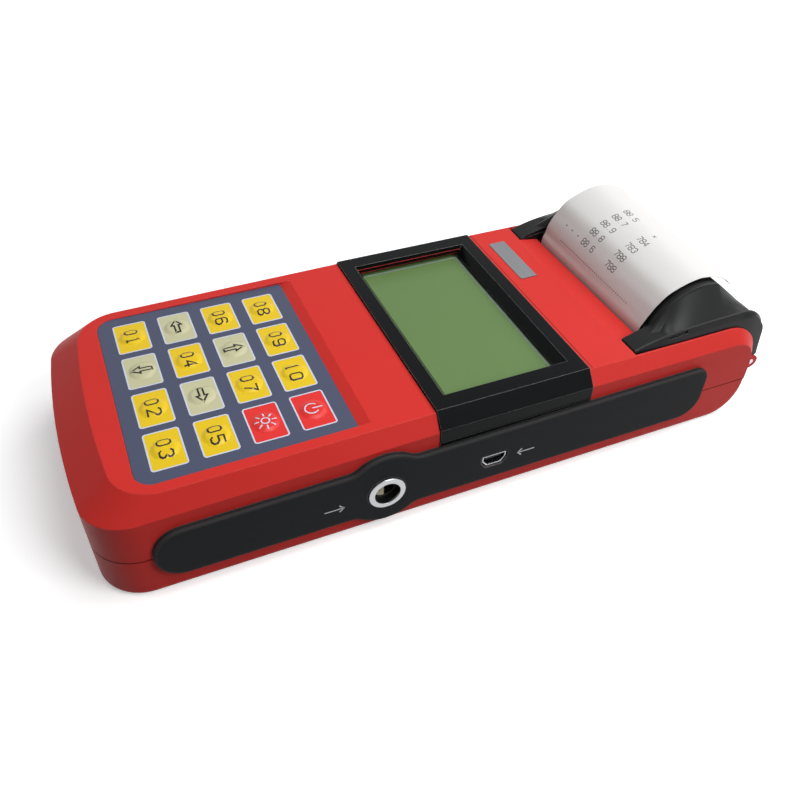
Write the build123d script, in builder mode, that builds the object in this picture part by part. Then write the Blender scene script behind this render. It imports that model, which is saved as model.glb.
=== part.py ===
from build123d import *
from math import acos, asin, atan2, cos, degrees, hypot, pi, radians, sin, tan
import os

os.makedirs("parts", exist_ok=True)

# Portable tester with a built-in strip printer, millimetres.
# +Y runs from the keypad end to the printer end, +X is the user's right, +Z is up.
# The origin is on the base, under the middle of the whole footprint.

# Housing, lengthwise distances are taken from the middle of the display
body_width = 85.2
front_reach = 120.4
hinge_reach = 91.5
deck_to_hinge = 2.1
side_to_hinge = 5.1
hinge_z = 16.8
eye_radius = 2.5
lug_length = 10.0
wall = 2.2
seam_z = 14.3
deck_z = 34.8
nose_z = 33.85
deck_half = 39.4
shoulder_z = 30.4
shoulder_nose_z = 27.5
front_bow = 3.2
deck_front_gap = 9.2
deck_bow = 2.6
corner_radius = 13.0
deck_corner_radius = 12.0
bottom_radius = 2.2
rear_bottom_radius = 12.0
side_top_radius = 8.5
deck_top_radius = 13.5
rear_lean = 1.6
rear_lean_z = 19.8

# Keypad
key_pitch_x = 16.6
key_pitch_y = 13.29
key_rows = 4
key_columns = 4
keypad_reach = 74.71
film_width = 72.0
film_length = 58.2
film_top_z = 33.75
film_thickness = 0.5
film_corner = 5.0
key_radius = 4.0
key_gap = 0.1
key_rise = 0.6
key_travel = 0.4
spacer_thickness = 0.85
circuit_thickness = 0.5
snap_dome_height = 0.25
snap_dome_taper = 70.0
pocket_slope_length = 4.4

# Display
bezel_length = 48.86
bezel_rise = 0.57
bezel_side_rise = 0.3
bezel_wall = 1.4
bezel_foot_z = 26.05
window_width = 68.6
window_length = 40.0
window_bevel = 2.4
window_edge = 0.4
lens_thickness = 0.8
lcd_thickness = 2.0
lcd_z = 31.1
lcd_board_thickness = 1.6
lcd_width = 72.0
lcd_length = 42.0
nameplate_width = 23.0
nameplate_length = 6.0
nameplate_x = -20.0
nameplate_to_slot = 16.3
nameplate_thickness = 0.3

# Side grips
grip_thickness = 1.8
grip_edge = 0.9
grip_front_reach = 104.3
grip_to_hinge = 23.6
grip_top_front_z = 23.7
grip_top_rear_z = 26.0
grip_bottom_z = 6.6
grip_front_radius = 8.0
grip_rear_top_radius = 5.0
grip_rear_bottom_radius = 7.5
bulge_radius = 12.6
bulge_z = 15.6
bulge_blend = 5.0

# Sockets
socket_reach = 40.82
socket_z = 14.58
socket_flange_radius = 5.5
socket_bore_radius = 3.85
socket_proud = 0.7
socket_bore_depth = 3.0
socket_step = 0.45
socket_barrel_radius = 4.7
contact_radius = 0.55
contact_pitch = 2.4
socket_length = 13.0
socket_nut_width = 12.0
socket_nut_thickness = 2.0
usb_reach = 7.03
usb_z = 14.26
usb_width = 7.6
usb_height = 3.9
usb_foot = 4.6
usb_depth = 9.2
usb_wall = 0.35
usb_margin = 0.35

# Printer
slot_to_hinge = 43.2
slot_half = 30.8
bay_half = 38.9
bay_to_hinge = 50.5
deck_dip = 1.5
deck_dip_run = 8.5
cover_wall = 1.6
cover_half = 38.6
ridge_half = 36.0
cheek_half = 31.0
hump_to_hinge = 23.2
hump_z = 29.8
hump_radius = 18.0
hump_slope = 39.9
crest_to_hinge = 17.5
cover_past_hinge = 1.8
cover_lean = 2.4
cover_corner_radius = 7.0
cover_hem = 2.8
arm_to_hinge = 50.0
ridge_z = 38.2
ridge_front_z = 34.5
skirt_front_z = 33.2
skirt_z = 34.7
skirt_floor_z = 31.0
skirt_rear_in = 0.6
notch_to_hinge = 37.5
notch_length = 8.0
ridge_run = 25.0
barrel_radius = 2.3
barrel_half = 33.6
hinge_clearance = 0.3
ear_radius = 3.0
hinge_pin_radius = 1.0
platen_to_hinge = 38.2
platen_z = 29.5
platen_radius = 4.2
platen_half = 28.6
platen_shaft_radius = 1.5
running_clearance = 0.05
gear_module = 0.6
gear_thickness = 2.5
gear_inner_x = 32.2
platen_teeth = 18
idler_teeth = 22
pinion_teeth = 10
mesh_slack = 0.15
motor_radius = 6.5
motor_length = 14.0
motor_shaft_radius = 1.0
paper_width = 57.5
paper_thickness = 0.15
roll_to_hinge = 25.0
roll_radius = 12.5
core_radius = 6.0
core_wall = 1.2
trough_inner_radius = 14.2
trough_wall = 1.5
trough_top_z = 20.0
frame_gap = 0.1
head_height = 5.0
spring_gap = 0.8
spring_half = 14.0
spring_thickness = 0.2
frame_wall = 1.4
axle_radius = 1.2
paper_gap = 0.35
paper_lift = 2.6
head_thickness = 1.2
sink_thickness = 2.2

# Inside the housings
board_thickness = 1.6
board_half = 40.0
board_front_reach = 32.0
board_hole_inset = 4.0
battery_width = 46.0
battery_length = 50.5
battery_height = 14.5
battery_gap = 0.75
door_thickness = 1.8
door_gap = 0.2
door_side_rim = 2.0
door_end_rim = 6.0
fence_wall = 1.5
fence_top_z = 13.0
screw_radius = 1.3
screw_head_radius = 2.4
screw_head_height = 1.2
screw_seat_z = 6.0
screw_length = 16.0
snug_gap = 0.03
small_screw_length = 6.0
boss_radius = 3.2
foot_boss_radius = 4.4
front_boss_x = 33.5
rear_boss_x = 36.6
front_boss_reach = 109.0
rear_boss_to_bay = 8.5
front_boss_rise = 4.0
cut_margin = 1.0
post_radius = 1.5
post_gap = 0.3
seat_gap = 0.1

# Places worked out from the sizes above
display_y = (front_reach - hinge_reach - eye_radius) / 2
body_half = body_width / 2
hinge_y = display_y + hinge_reach
deck_reach = hinge_reach - deck_to_hinge
side_reach = hinge_reach - side_to_hinge
keypad_y = display_y - keypad_reach
film_rear_y = keypad_y + film_length / 2
pocket_z = film_top_z - film_thickness - spacer_thickness - circuit_thickness
bezel_top_z = deck_z + bezel_rise
bezel_half = body_half + bezel_side_rise
lens_top_z = lcd_z + lens_thickness + seat_gap
socket_y = display_y - socket_reach
socket_face_x = body_half + grip_thickness + socket_proud
usb_y = display_y - usb_reach
usb_mouth_x = body_half + grip_thickness - usb_margin
board_top_z = usb_z - usb_height / 2
board_bottom_z = board_top_z - board_thickness
battery_z = door_thickness + seat_gap
opening_width = battery_width + 2 * battery_gap
opening_length = battery_length + 2 * battery_gap
door_width = opening_width + 2 * door_side_rim
door_length = opening_length + 2 * door_end_rim
rear_y = hinge_y + eye_radius
lcd_board_z = lcd_z - lcd_thickness - lcd_board_thickness - seat_gap
slot_y = hinge_y - slot_to_hinge
nameplate_y = slot_y - nameplate_to_slot
hump_y = hinge_y - hump_to_hinge
cover_rear_y = hinge_y + cover_past_hinge
platen_y = hinge_y - platen_to_hinge
roll_y = hinge_y - roll_to_hinge
trough_outer_radius = trough_inner_radius + trough_wall
trough_z = wall + frame_gap + trough_outer_radius
roll_z = trough_z - trough_inner_radius + roll_radius + seat_gap / 2
knuckle_half = barrel_half + hinge_clearance
key_foot_z = film_top_z - film_thickness - key_gap
key_dome_radius = (key_radius**2 + key_rise**2) / (2 * key_rise)
insert_radius = socket_bore_radius - socket_step
door_head_height = screw_head_height
head_face_y = slot_y + paper_gap - seat_gap
head_wall_y = head_face_y - head_thickness - sink_thickness - spring_gap - frame_wall
head_top_z = deck_z - deck_dip - wall - seat_gap * 3
head_low_z = head_top_z - head_height
leg_z = hinge_z + cover_hem
leg_y = display_y + deck_reach - wall
crest_y = hinge_y - crest_to_hinge
crest_z = hump_z + (hump_radius**2 - (crest_y - hump_y) ** 2) ** 0.5
bay_front_y = hinge_y - bay_to_hinge
arm_front_y = hinge_y - arm_to_hinge
notch_y = hinge_y - notch_to_hinge
rear_boss_y = bay_front_y - rear_boss_to_bay
board_front_y = display_y - board_front_reach
board_rear_y = rear_boss_y - foot_boss_radius - seat_gap
deck_dip_y = slot_y - deck_dip_run
cover_lean_rate = cover_lean / (ridge_z - leg_z)
ear_half = cheek_half + 2 * seat_gap
ear_inner = ear_half - cover_wall
platen_pitch_radius = gear_module * platen_teeth / 2
idler_pitch_radius = gear_module * idler_teeth / 2
pinion_pitch_radius = gear_module * pinion_teeth / 2

# The platen lifts square to its arm from the hinge, and the idler lies straight behind that lift
arm_length = hypot(platen_to_hinge, platen_z - hinge_z)
lift_y = (platen_z - hinge_z) / arm_length
lift_z = platen_to_hinge / arm_length
idler_y = platen_y - (platen_pitch_radius + idler_pitch_radius) * lift_y
idler_z = platen_z - (platen_pitch_radius + idler_pitch_radius) * lift_z
pinion_angle = radians(202)
motor_y = idler_y + (idler_pitch_radius + pinion_pitch_radius) * cos(pinion_angle)
motor_z = idler_z + (idler_pitch_radius + pinion_pitch_radius) * sin(pinion_angle)

# Housing screw bosses: x, y, and the height at which the upper boss meets the roof
boss_places = [
    (side * boss_x, boss_y, top)
    for side in (-1, 1)
    for boss_x, boss_y, top in (
        (front_boss_x, display_y - front_boss_reach, shoulder_nose_z + front_boss_rise),
        (rear_boss_x, rear_boss_y, deck_z - wall / 2),
    )
]
door_screw_places = [
    (0, keypad_y + side * (opening_length + door_end_rim) / 2) for side in (-1, 1)
]
board_screw_places = [
    (side * (board_half - board_hole_inset), y)
    for side in (-1, 1)
    for y in (
        board_front_y + board_hole_inset,
        board_rear_y - board_hole_inset,
    )
]
post_places = [
    (x * (lcd_width / 2 + post_radius + post_gap), display_y + y * (lcd_length / 2 + post_radius))
    for x in (-1, 1)
    for y in (-1, 1)
]


def sloped(z, rise, run):
    """Plane through the middle of the display at height z that climbs towards the printer."""
    return Plane((0, display_y, z), x_dir=(1, 0, 0), z_dir=(0, -rise, run))


def lengthwise(x):
    """Plane across the part at x, with its own axes along +Y and +Z."""
    return Plane((x, 0, 0), x_dir=(0, 1, 0), z_dir=(1, 0, 0))


def plan_outline(plane, half, reach, bow, radius):
    """Keypad end in plan, from the middle of the display: rounded corners and a bowed front."""
    with BuildSketch(plane) as outline:
        with BuildLine():
            ThreePointArc((-half, bow - reach), (0, -reach), (half, bow - reach))
            Polyline((half, bow - reach), (half, 0), (-half, 0), (-half, bow - reach))
        make_face()
        fillet(outline.vertices().group_by(Axis.Y)[0], radius)
    return outline.sketch.face()


def front_block(inset):
    """Keypad end, whose shoulder widens towards the nose. The inset gives its hollow."""
    shoulder = sloped(shoulder_z - inset / 2, shoulder_z - shoulder_nose_z, front_reach)
    deck = sloped(deck_z - inset, deck_z - nose_z, front_reach - deck_front_gap)
    floor = Plane((0, display_y, inset))
    with BuildPart() as block:
        extrude(
            plan_outline(floor, body_half - inset, front_reach - inset, front_bow, corner_radius - inset),
            amount=deck_z,
        )
        split(bisect_by=shoulder, keep=Keep.BOTTOM)
        lower = block.faces().sort_by(Axis.Z)[-1]
        upper = plan_outline(
            deck,
            deck_half - inset,
            front_reach - deck_front_gap - inset,
            deck_bow,
            deck_corner_radius - inset,
        )
        loft([lower, upper], ruled=True)
    return block.part


def rear_section(plane, inset, top_z, reach, top_radius):
    """Lengthwise section of the printer end, with its leaning rear and its rounded foot."""
    rear_wall_y = display_y + reach - inset
    with BuildSketch(plane) as section:
        with BuildLine():
            Polyline(
                (display_y, inset),
                (display_y, top_z),
                (rear_wall_y - rear_lean, top_z),
                (rear_wall_y, rear_lean_z),
                (rear_wall_y, inset),
                close=True,
            )
        make_face()
        top_corner = section.vertices().group_by(Axis.Y)[-1].sort_by(Axis.X)[-1]
        fillet(top_corner, top_radius - inset)
        foot_corner = section.vertices().group_by(Axis.Y)[0].sort_by(Axis.X)[-1]
        fillet(foot_corner, rear_bottom_radius - inset)
    return section.sketch.face()


def rear_block(inset):
    """Printer end, with a shoulder that wraps down its rear corners."""
    half, deck = body_half - inset, deck_half - inset
    inner = (inset, deck_z - inset, deck_reach, deck_top_radius)
    outer = (inset, shoulder_z - inset / 2, side_reach, side_top_radius)
    with BuildPart() as block:
        extrude(rear_section(lengthwise(-deck), *inner), amount=2 * deck)
        for side in (-1, 1):
            loft(
                [
                    rear_section(lengthwise(side * deck), *inner),
                    rear_section(lengthwise(side * half), *outer),
                ],
                ruled=True,
            )
    return block.part


def housing_form(inset=0.0):
    """Both housings as one closed form, or its hollow when it is inset by the wall."""
    with BuildPart() as form:
        add(front_block(inset))
        add(rear_block(inset))
    return form.part


def band_section(inset, foot_z):
    """Section across the display: deck, sloping shoulders and sides, down to foot_z."""
    half, deck = bezel_half - inset, deck_half - inset / 2
    top_z, edge_z = bezel_top_z - inset, shoulder_z + bezel_rise / 2 - inset / 2
    with BuildSketch(Plane((0, display_y, 0), x_dir=(1, 0, 0), z_dir=(0, -1, 0))) as section:
        with BuildLine():
            Polyline(
                (-half, foot_z),
                (-half, edge_z),
                (-deck, top_z),
                (deck, top_z),
                (half, edge_z),
                (half, foot_z),
                close=True,
            )
        make_face()
    return section.sketch.face()


def band_seat():
    """What is cut back from the upper housing all round for the display bezel."""
    half_length = bezel_length / 2 + seat_gap
    with BuildPart() as seat:
        block(
            (-body_width, body_width),
            (display_y - half_length, display_y + half_length),
            (bezel_foot_z - seat_gap, 2 * deck_z),
        )
        extrude(band_section(bezel_wall + seat_gap, 0), amount=bezel_length, both=True, mode=Mode.SUBTRACT)
    return seat.part


def screw(length):
    """Pan head screw pointing up, with a cross recess in its head and its seat at z = 0."""
    with BuildPart() as body:
        with BuildSketch(Plane.XY.offset(-screw_head_height)):
            Circle(screw_head_radius)
        extrude(amount=screw_head_height)
        chamfer(body.edges().group_by(Axis.Z)[0], screw_head_height / 4)
        with BuildSketch():
            Circle(screw_radius)
        extrude(amount=length)
        with BuildSketch(Plane.XY.offset(-screw_head_height)):
            Rectangle(screw_head_radius, screw_head_radius / 5)
            Rectangle(screw_head_radius / 5, screw_head_radius)
        extrude(amount=screw_head_height / 2, mode=Mode.SUBTRACT)
    return body.part


def column(x, y, radius, low, high, mode=Mode.ADD):
    """Round boss or hole standing at x, y between two heights."""
    with BuildSketch(Plane.XY.offset(low)) as disc:
        with Locations((x, y)):
            Circle(radius)
    extrude(disc.sketch, amount=high - low, mode=mode)


def block(x_range, y_range, z_range, mode=Mode.ADD):
    """Rectangular block or cut between three pairs of limits."""
    sizes = [high - low for low, high in (x_range, y_range, z_range)]
    middle = [(high + low) / 2 for low, high in (x_range, y_range, z_range)]
    with Locations(tuple(middle)):
        Box(*sizes, mode=mode)


def rod(y, z, radius, x_range, mode=Mode.ADD):
    """Round bar or bore lying along X between two places."""
    with BuildSketch(lengthwise(x_range[0])) as disc:
        with Locations((y, z)):
            Circle(radius)
    extrude(disc.sketch, amount=x_range[1] - x_range[0], mode=mode)


def usb_bar(margin, x_range, mode=Mode.ADD):
    """Bar along X of the small connector's outline, whose lower corners slope in."""
    half, half_height, foot = usb_width / 2 + margin, usb_height / 2 + margin, usb_foot / 2 + margin
    with BuildSketch(Plane((x_range[0], usb_y, usb_z), x_dir=(0, 1, 0), z_dir=(1, 0, 0))) as mouth:
        with BuildLine():
            Polyline(
                (-half, half_height),
                (half, half_height),
                (half, 0),
                (foot, -half_height),
                (-foot, -half_height),
                (-half, 0),
                close=True,
            )
        make_face()
    extrude(mouth.sketch, amount=x_range[1] - x_range[0], mode=mode)


def finish(body, label):
    """Name the finished piece and write it to its own file."""
    body.part.label = label
    export_step(body.part, f"parts/{label}.step")
    print(label, len(body.part.solids()), round(body.part.volume, 2))


# Lower housing
with BuildPart() as lower_housing:
    add(housing_form())
    outer_foot = lower_housing.edges().filter_by(
        lambda edge: abs(edge.center().Z) < wall / 10 and edge.center().Y < display_y
    )
    fillet(outer_foot, bottom_radius)
    split(bisect_by=Plane.XY.offset(seam_z), keep=Keep.BOTTOM)
    hollow = housing_form(wall)
    add(hollow, mode=Mode.SUBTRACT)
    # Fence of the battery compartment, with a block at each end for the door screws
    fence_half, fence_length = opening_width / 2 + fence_wall, opening_length / 2 + fence_wall
    block((-fence_half, fence_half), (keypad_y - fence_length, keypad_y + fence_length), (wall / 2, fence_top_z))
    for x, y in door_screw_places:
        column(x, y, foot_boss_radius, wall / 2, fence_top_z)
    block(
        (-opening_width / 2, opening_width / 2),
        (keypad_y - opening_length / 2, keypad_y + opening_length / 2),
        (0, fence_top_z),
        Mode.SUBTRACT,
    )
    block(
        (-door_width / 2, door_width / 2),
        (keypad_y - door_length / 2, keypad_y + door_length / 2),
        (0, door_thickness),
        Mode.SUBTRACT,
    )
    for x, y in door_screw_places:
        column(x, y, screw_radius + snug_gap, 0, door_thickness + small_screw_length, Mode.SUBTRACT)
    for x, y, top in boss_places:
        column(x, y, foot_boss_radius, wall / 2, seam_z)
        column(x, y, screw_head_radius + snug_gap, 0, screw_seat_z, Mode.SUBTRACT)
        column(x, y, screw_radius + snug_gap, screw_seat_z, seam_z, Mode.SUBTRACT)
    for x, y in board_screw_places:
        column(x, y, boss_radius, wall / 2, board_bottom_z)
        column(x, y, screw_radius + snug_gap, board_top_z - small_screw_length, board_bottom_z, Mode.SUBTRACT)
    # Half of the holes for the two sockets lies in each housing
    rod_range = (body_half - 2 * wall, body_half + wall)
    rod(socket_y, socket_z, socket_barrel_radius + seat_gap, rod_range, Mode.SUBTRACT)
    usb_bar(usb_margin, rod_range, Mode.SUBTRACT)
finish(lower_housing, "lower_housing")

# Upper housing
with BuildPart() as upper_housing:
    add(housing_form())
    split(bisect_by=Plane.XY.offset(seam_z), keep=Keep.TOP)
    add(hollow, mode=Mode.SUBTRACT)
    # Thick floor under the keypad pocket, and screw bosses and display posts under the roof
    block(
        (-film_width / 2 - wall, film_width / 2 + wall),
        (keypad_y - film_length / 2, film_rear_y + wall),
        (pocket_z - wall, nose_z - wall / 2),
    )
    for x, y, top in boss_places:
        column(x, y, boss_radius, seam_z, top)
        column(x, y, screw_radius + snug_gap, seam_z, screw_seat_z + screw_length + cut_margin, Mode.SUBTRACT)
    for x, y in post_places:
        column(x, y, post_radius, lcd_board_z + lcd_board_thickness + seat_gap, deck_z - wall / 2)
    # Keypad pocket with rounded front corners, and the slope behind it
    with BuildSketch(Plane.XY.offset(pocket_z)) as pocket:
        with Locations((0, keypad_y)):
            Rectangle(film_width + 2 * seat_gap, film_length + 2 * seat_gap)
        fillet(pocket.vertices().group_by(Axis.Y)[0], film_corner)
    extrude(amount=wall * 3, mode=Mode.SUBTRACT)
    with BuildSketch(lengthwise(-film_width / 2)):
        with BuildLine():
            Polyline(
                (film_rear_y - wall, film_top_z - film_thickness),
                (film_rear_y + seat_gap, film_top_z - film_thickness),
                (film_rear_y + pocket_slope_length, deck_z),
                (film_rear_y + pocket_slope_length, deck_z + wall),
                (film_rear_y - wall, deck_z + wall),
                close=True,
            )
        make_face()
    extrude(amount=film_width, mode=Mode.SUBTRACT)
    # Band cut back all round for the display bezel, and the display window
    add(band_seat(), mode=Mode.SUBTRACT)
    block(
        (-window_width / 2 + window_edge, window_width / 2 - window_edge),
        (display_y - window_length / 2 - seat_gap, display_y + window_length / 2 + seat_gap),
        (lcd_z, 2 * deck_z),
        Mode.SUBTRACT,
    )
    # Shallow seat for the nameplate
    block(
        (nameplate_x - nameplate_width / 2 - seat_gap, nameplate_x + nameplate_width / 2 + seat_gap),
        (nameplate_y - nameplate_length / 2 - seat_gap, nameplate_y + nameplate_length / 2 + seat_gap),
        (deck_z - nameplate_thickness / 2, deck_z + wall),
        Mode.SUBTRACT,
    )
    # Deck dips to the paper slot, and the bay behind it is open between the cheeks
    with BuildSketch(lengthwise(-slot_half)):
        with BuildLine():
            Polyline(
                (deck_dip_y, deck_z),
                (slot_y + wall, deck_z - deck_dip * (deck_dip_run + wall) / deck_dip_run),
                (slot_y + wall, deck_z + wall),
                (deck_dip_y, deck_z + wall),
                close=True,
            )
        make_face()
    extrude(amount=2 * slot_half, mode=Mode.SUBTRACT)
    block((-bay_half, bay_half), (slot_y, rear_y), (seam_z - cut_margin, 2 * deck_z), Mode.SUBTRACT)
    for side in (-1, 1):
        arm_slot = sorted((side * slot_half, side * bay_half))
        block(arm_slot, (bay_front_y, rear_y), (seam_z - cut_margin, 2 * deck_z), Mode.SUBTRACT)
    # Lug with an eye inside each cheek for the hinge pin of the printer cover
    for side in (-1, 1):
        lug_range = sorted((side * knuckle_half, side * bay_half))
        root_range = sorted((side * knuckle_half, side * (body_half - wall / 2)))
        lug_height = (seam_z, hinge_z + eye_radius)
        block(lug_range, (hinge_y - lug_length, hinge_y), lug_height)
        block(root_range, (hinge_y - lug_length, display_y + side_reach - wall), lug_height)
        rod(hinge_y, hinge_z, eye_radius, lug_range)
    rod(hinge_y, hinge_z, hinge_pin_radius, (-bay_half, bay_half), Mode.SUBTRACT)
    # Half of the holes for the two sockets
    rod(socket_y, socket_z, socket_barrel_radius + seat_gap, rod_range, Mode.SUBTRACT)
    usb_bar(usb_margin, rod_range, Mode.SUBTRACT)
finish(upper_housing, "upper_housing")

# Display bezel: a band over the deck and both shoulders, with sloping window walls
with BuildPart() as display_bezel:
    extrude(band_section(0, bezel_foot_z), amount=bezel_length / 2, both=True)
    extrude(band_section(bezel_wall, 0), amount=bezel_length, both=True, mode=Mode.SUBTRACT)
    block(
        (-window_width / 2 + 2 * window_edge, window_width / 2 - 2 * window_edge),
        (display_y - window_length / 2, display_y + window_length / 2),
        (lens_top_z + seat_gap, bezel_top_z),
    )
    with BuildSketch(Plane((0, display_y, lens_top_z))):
        Rectangle(window_width - 2 * window_edge, window_length - 2 * window_bevel)
    with BuildSketch(Plane((0, display_y, bezel_top_z))):
        Rectangle(window_width, window_length)
    loft(ruled=True, mode=Mode.SUBTRACT)
finish(display_bezel, "display_bezel")

# Display: clear lens, glass panel and the board that carries it
with BuildPart() as display_lens:
    with BuildSketch(Plane((0, display_y, lcd_z + seat_gap))):
        Rectangle(lcd_width, lcd_length)
    extrude(amount=lens_thickness)
finish(display_lens, "display_lens")

with BuildPart() as lcd_panel:
    with BuildSketch(Plane((0, display_y, lcd_z))):
        Rectangle(lcd_width, lcd_length)
    extrude(amount=-lcd_thickness)
finish(lcd_panel, "lcd_panel")

with BuildPart() as lcd_board:
    with BuildSketch(Plane((0, display_y, lcd_board_z))) as board:
        Rectangle(lcd_width + 4 * post_radius + 1, lcd_length + 4 * post_radius + 2)
        fillet(board.vertices(), post_radius)
        with Locations(*[(x, y - display_y) for x, y in post_places]):
            Circle(screw_radius / 2, mode=Mode.SUBTRACT)
    extrude(amount=lcd_board_thickness)
finish(lcd_board, "lcd_board")

with BuildPart() as nameplate:
    with BuildSketch(Plane((nameplate_x, nameplate_y, deck_z - nameplate_thickness / 2))) as plate:
        Rectangle(nameplate_width, nameplate_length)
        fillet(plate.vertices(), nameplate_thickness)
    extrude(amount=nameplate_thickness)
finish(nameplate, "nameplate")

# Keypad: printed film, spacer, circuit and snap domes, all on one grid
with BuildPart() as keypad_film:
    with BuildSketch(Plane((0, keypad_y, film_top_z))) as film:
        Rectangle(film_width, film_length)
        fillet(film.vertices().group_by(Axis.Y)[0], film_corner)
        with GridLocations(key_pitch_x, key_pitch_y, key_columns, key_rows):
            Circle(key_radius + key_gap, mode=Mode.SUBTRACT)
    extrude(amount=-film_thickness)
finish(keypad_film, "keypad_film")

with BuildPart() as keypad_spacer:
    with BuildSketch(Plane((0, keypad_y, film_top_z - film_thickness))) as spacer:
        Rectangle(film_width, film_length)
        fillet(spacer.vertices().group_by(Axis.Y)[0], film_corner)
        with GridLocations(key_pitch_x, key_pitch_y, key_columns, key_rows):
            Circle(key_radius + 5 * key_gap, mode=Mode.SUBTRACT)
    extrude(amount=-spacer_thickness)
finish(keypad_spacer, "keypad_spacer")

with BuildPart() as keypad_circuit:
    with BuildSketch(Plane((0, keypad_y, pocket_z))) as circuit:
        Rectangle(film_width, film_length)
        fillet(circuit.vertices().group_by(Axis.Y)[0], film_corner)
    extrude(amount=circuit_thickness)
finish(keypad_circuit, "keypad_circuit")

with BuildPart() as snap_domes:
    with BuildSketch(Plane((0, keypad_y, pocket_z + circuit_thickness))):
        with GridLocations(key_pitch_x, key_pitch_y, key_columns, key_rows):
            Circle(key_radius)
    extrude(amount=snap_dome_height, taper=snap_dome_taper)
finish(snap_domes, "snap_domes")

# Keys: round domes that stand in the film's holes and travel down onto the snap domes.
# The user reads the keypad from its front edge, the far side is -X and the display end +Y.
key_names = [
    ["key_enter", "key_left", "key_exit", "key_print"],
    ["key_up", "key_menu", "key_down", "key_feed"],
    ["key_delete", "key_right", "key_store", "key_backlight"],
    ["key_material", "key_scale", "key_direction", "key_power"],
]
for step, names in enumerate(key_names):
    for side_step, key_name in enumerate(names):
        key_x = (side_step - (key_rows - 1) / 2) * key_pitch_x
        key_y = keypad_y + (step - (key_columns - 1) / 2) * key_pitch_y
        with BuildPart() as key:
            with BuildSketch(Plane((key_x, key_y, 0), x_dir=(1, 0, 0), z_dir=(0, -1, 0))):
                with BuildLine():
                    Polyline((0, film_top_z), (0, key_foot_z), (key_radius, key_foot_z), (key_radius, film_top_z))
                    RadiusArc((key_radius, film_top_z), (0, film_top_z + key_rise), -key_dome_radius)
                    Line((0, film_top_z + key_rise), (0, film_top_z))
                make_face()
            revolve(axis=Axis((key_x, key_y, 0), (0, 0, 1)))
        finish(key, key_name)


def grip_outline(has_bulge):
    """Side grip in elevation: a long rounded strip, with a round bulge about the socket."""
    front, rear = display_y - grip_front_reach, hinge_y - grip_to_hinge
    with BuildSketch() as outline:
        with BuildLine():
            Polyline(
                (front, grip_bottom_z),
                (rear, grip_bottom_z),
                (rear, grip_top_rear_z),
                (front, grip_top_front_z),
                close=True,
            )
        make_face()
        fillet(outline.vertices().group_by(Axis.X)[0], grip_front_radius)
        fillet(outline.vertices().sort_by_distance((rear, grip_top_rear_z)).first, grip_rear_top_radius)
        fillet(outline.vertices().sort_by_distance((rear, grip_bottom_z)).first, grip_rear_bottom_radius)
        if has_bulge:
            with Locations((socket_y, bulge_z)):
                Circle(bulge_radius)
            crossings = outline.vertices().filter_by(
                lambda point: abs(hypot(point.X - socket_y, point.Y - bulge_z) - bulge_radius) < 0.01
            )
            fillet(crossings, bulge_blend)
    return outline.sketch


# Rubber grips over the seam on both sides, the right one holed for the sockets
for side, grip_name in ((1, "grip_right"), (-1, "grip_left")):
    with BuildPart() as grip:
        inner_face = Plane((side * body_half, 0, 0), x_dir=(0, 1, 0), z_dir=(1, 0, 0))
        extrude(inner_face * grip_outline(side > 0), amount=side * grip_thickness)
        outer = grip.faces().sort_by(Axis.X)[-1 if side > 0 else 0]
        fillet(outer.edges(), grip_edge)
        if side > 0:
            grip_range = (body_half - wall, body_half + 2 * grip_thickness)
            rod(socket_y, socket_z, socket_flange_radius + seat_gap, grip_range, Mode.SUBTRACT)
            usb_bar(usb_margin, grip_range, Mode.SUBTRACT)
    finish(grip, grip_name)

# Sensor socket: turned shell and flange, half-moon insert with two contacts, and its nut
barrel_end_x = socket_face_x - socket_length
with BuildPart() as socket_shell:
    rod(socket_y, socket_z, socket_barrel_radius, (barrel_end_x, socket_face_x - socket_proud))
    rod(socket_y, socket_z, socket_flange_radius, (body_half + seat_gap, socket_face_x))
    rim = socket_shell.faces().sort_by(Axis.X)[-1].edges()
    fillet(rim, socket_proud / 2)
    rod(socket_y, socket_z, socket_bore_radius, (socket_face_x - socket_bore_depth, socket_face_x), Mode.SUBTRACT)
    rod(socket_y, socket_z, insert_radius, (barrel_end_x, socket_face_x), Mode.SUBTRACT)
finish(socket_shell, "socket_shell")

insert_range = (barrel_end_x + wall, socket_face_x - socket_bore_depth)
with BuildPart() as socket_insert:
    with BuildSketch(Plane((insert_range[0], socket_y, socket_z), x_dir=(0, 1, 0), z_dir=(1, 0, 0))):
        Circle(insert_radius)
        with Locations((insert_radius, 0)):
            Rectangle(2 * insert_radius, 2 * insert_radius, mode=Mode.SUBTRACT)
        with Locations((-insert_radius / 2, contact_pitch / 2), (-insert_radius / 2, -contact_pitch / 2)):
            Circle(contact_radius, mode=Mode.SUBTRACT)
    extrude(amount=insert_range[1] - insert_range[0])
finish(socket_insert, "socket_insert")

with BuildPart() as socket_contacts:
    with BuildSketch(Plane((insert_range[0] - wall, socket_y, socket_z), x_dir=(0, 1, 0), z_dir=(1, 0, 0))):
        with Locations((-insert_radius / 2, contact_pitch / 2), (-insert_radius / 2, -contact_pitch / 2)):
            Circle(contact_radius - snug_gap)
    extrude(amount=insert_range[1] - insert_range[0])
finish(socket_contacts, "socket_contacts")

with BuildPart() as socket_nut:
    with BuildSketch(Plane((body_half - wall - seat_gap, socket_y, socket_z), x_dir=(0, 1, 0), z_dir=(1, 0, 0))):
        RegularPolygon(socket_nut_width / 2, 6, major_radius=False)
        Circle(socket_barrel_radius + snug_gap, mode=Mode.SUBTRACT)
    extrude(amount=-socket_nut_thickness)
finish(socket_nut, "socket_nut")

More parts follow.
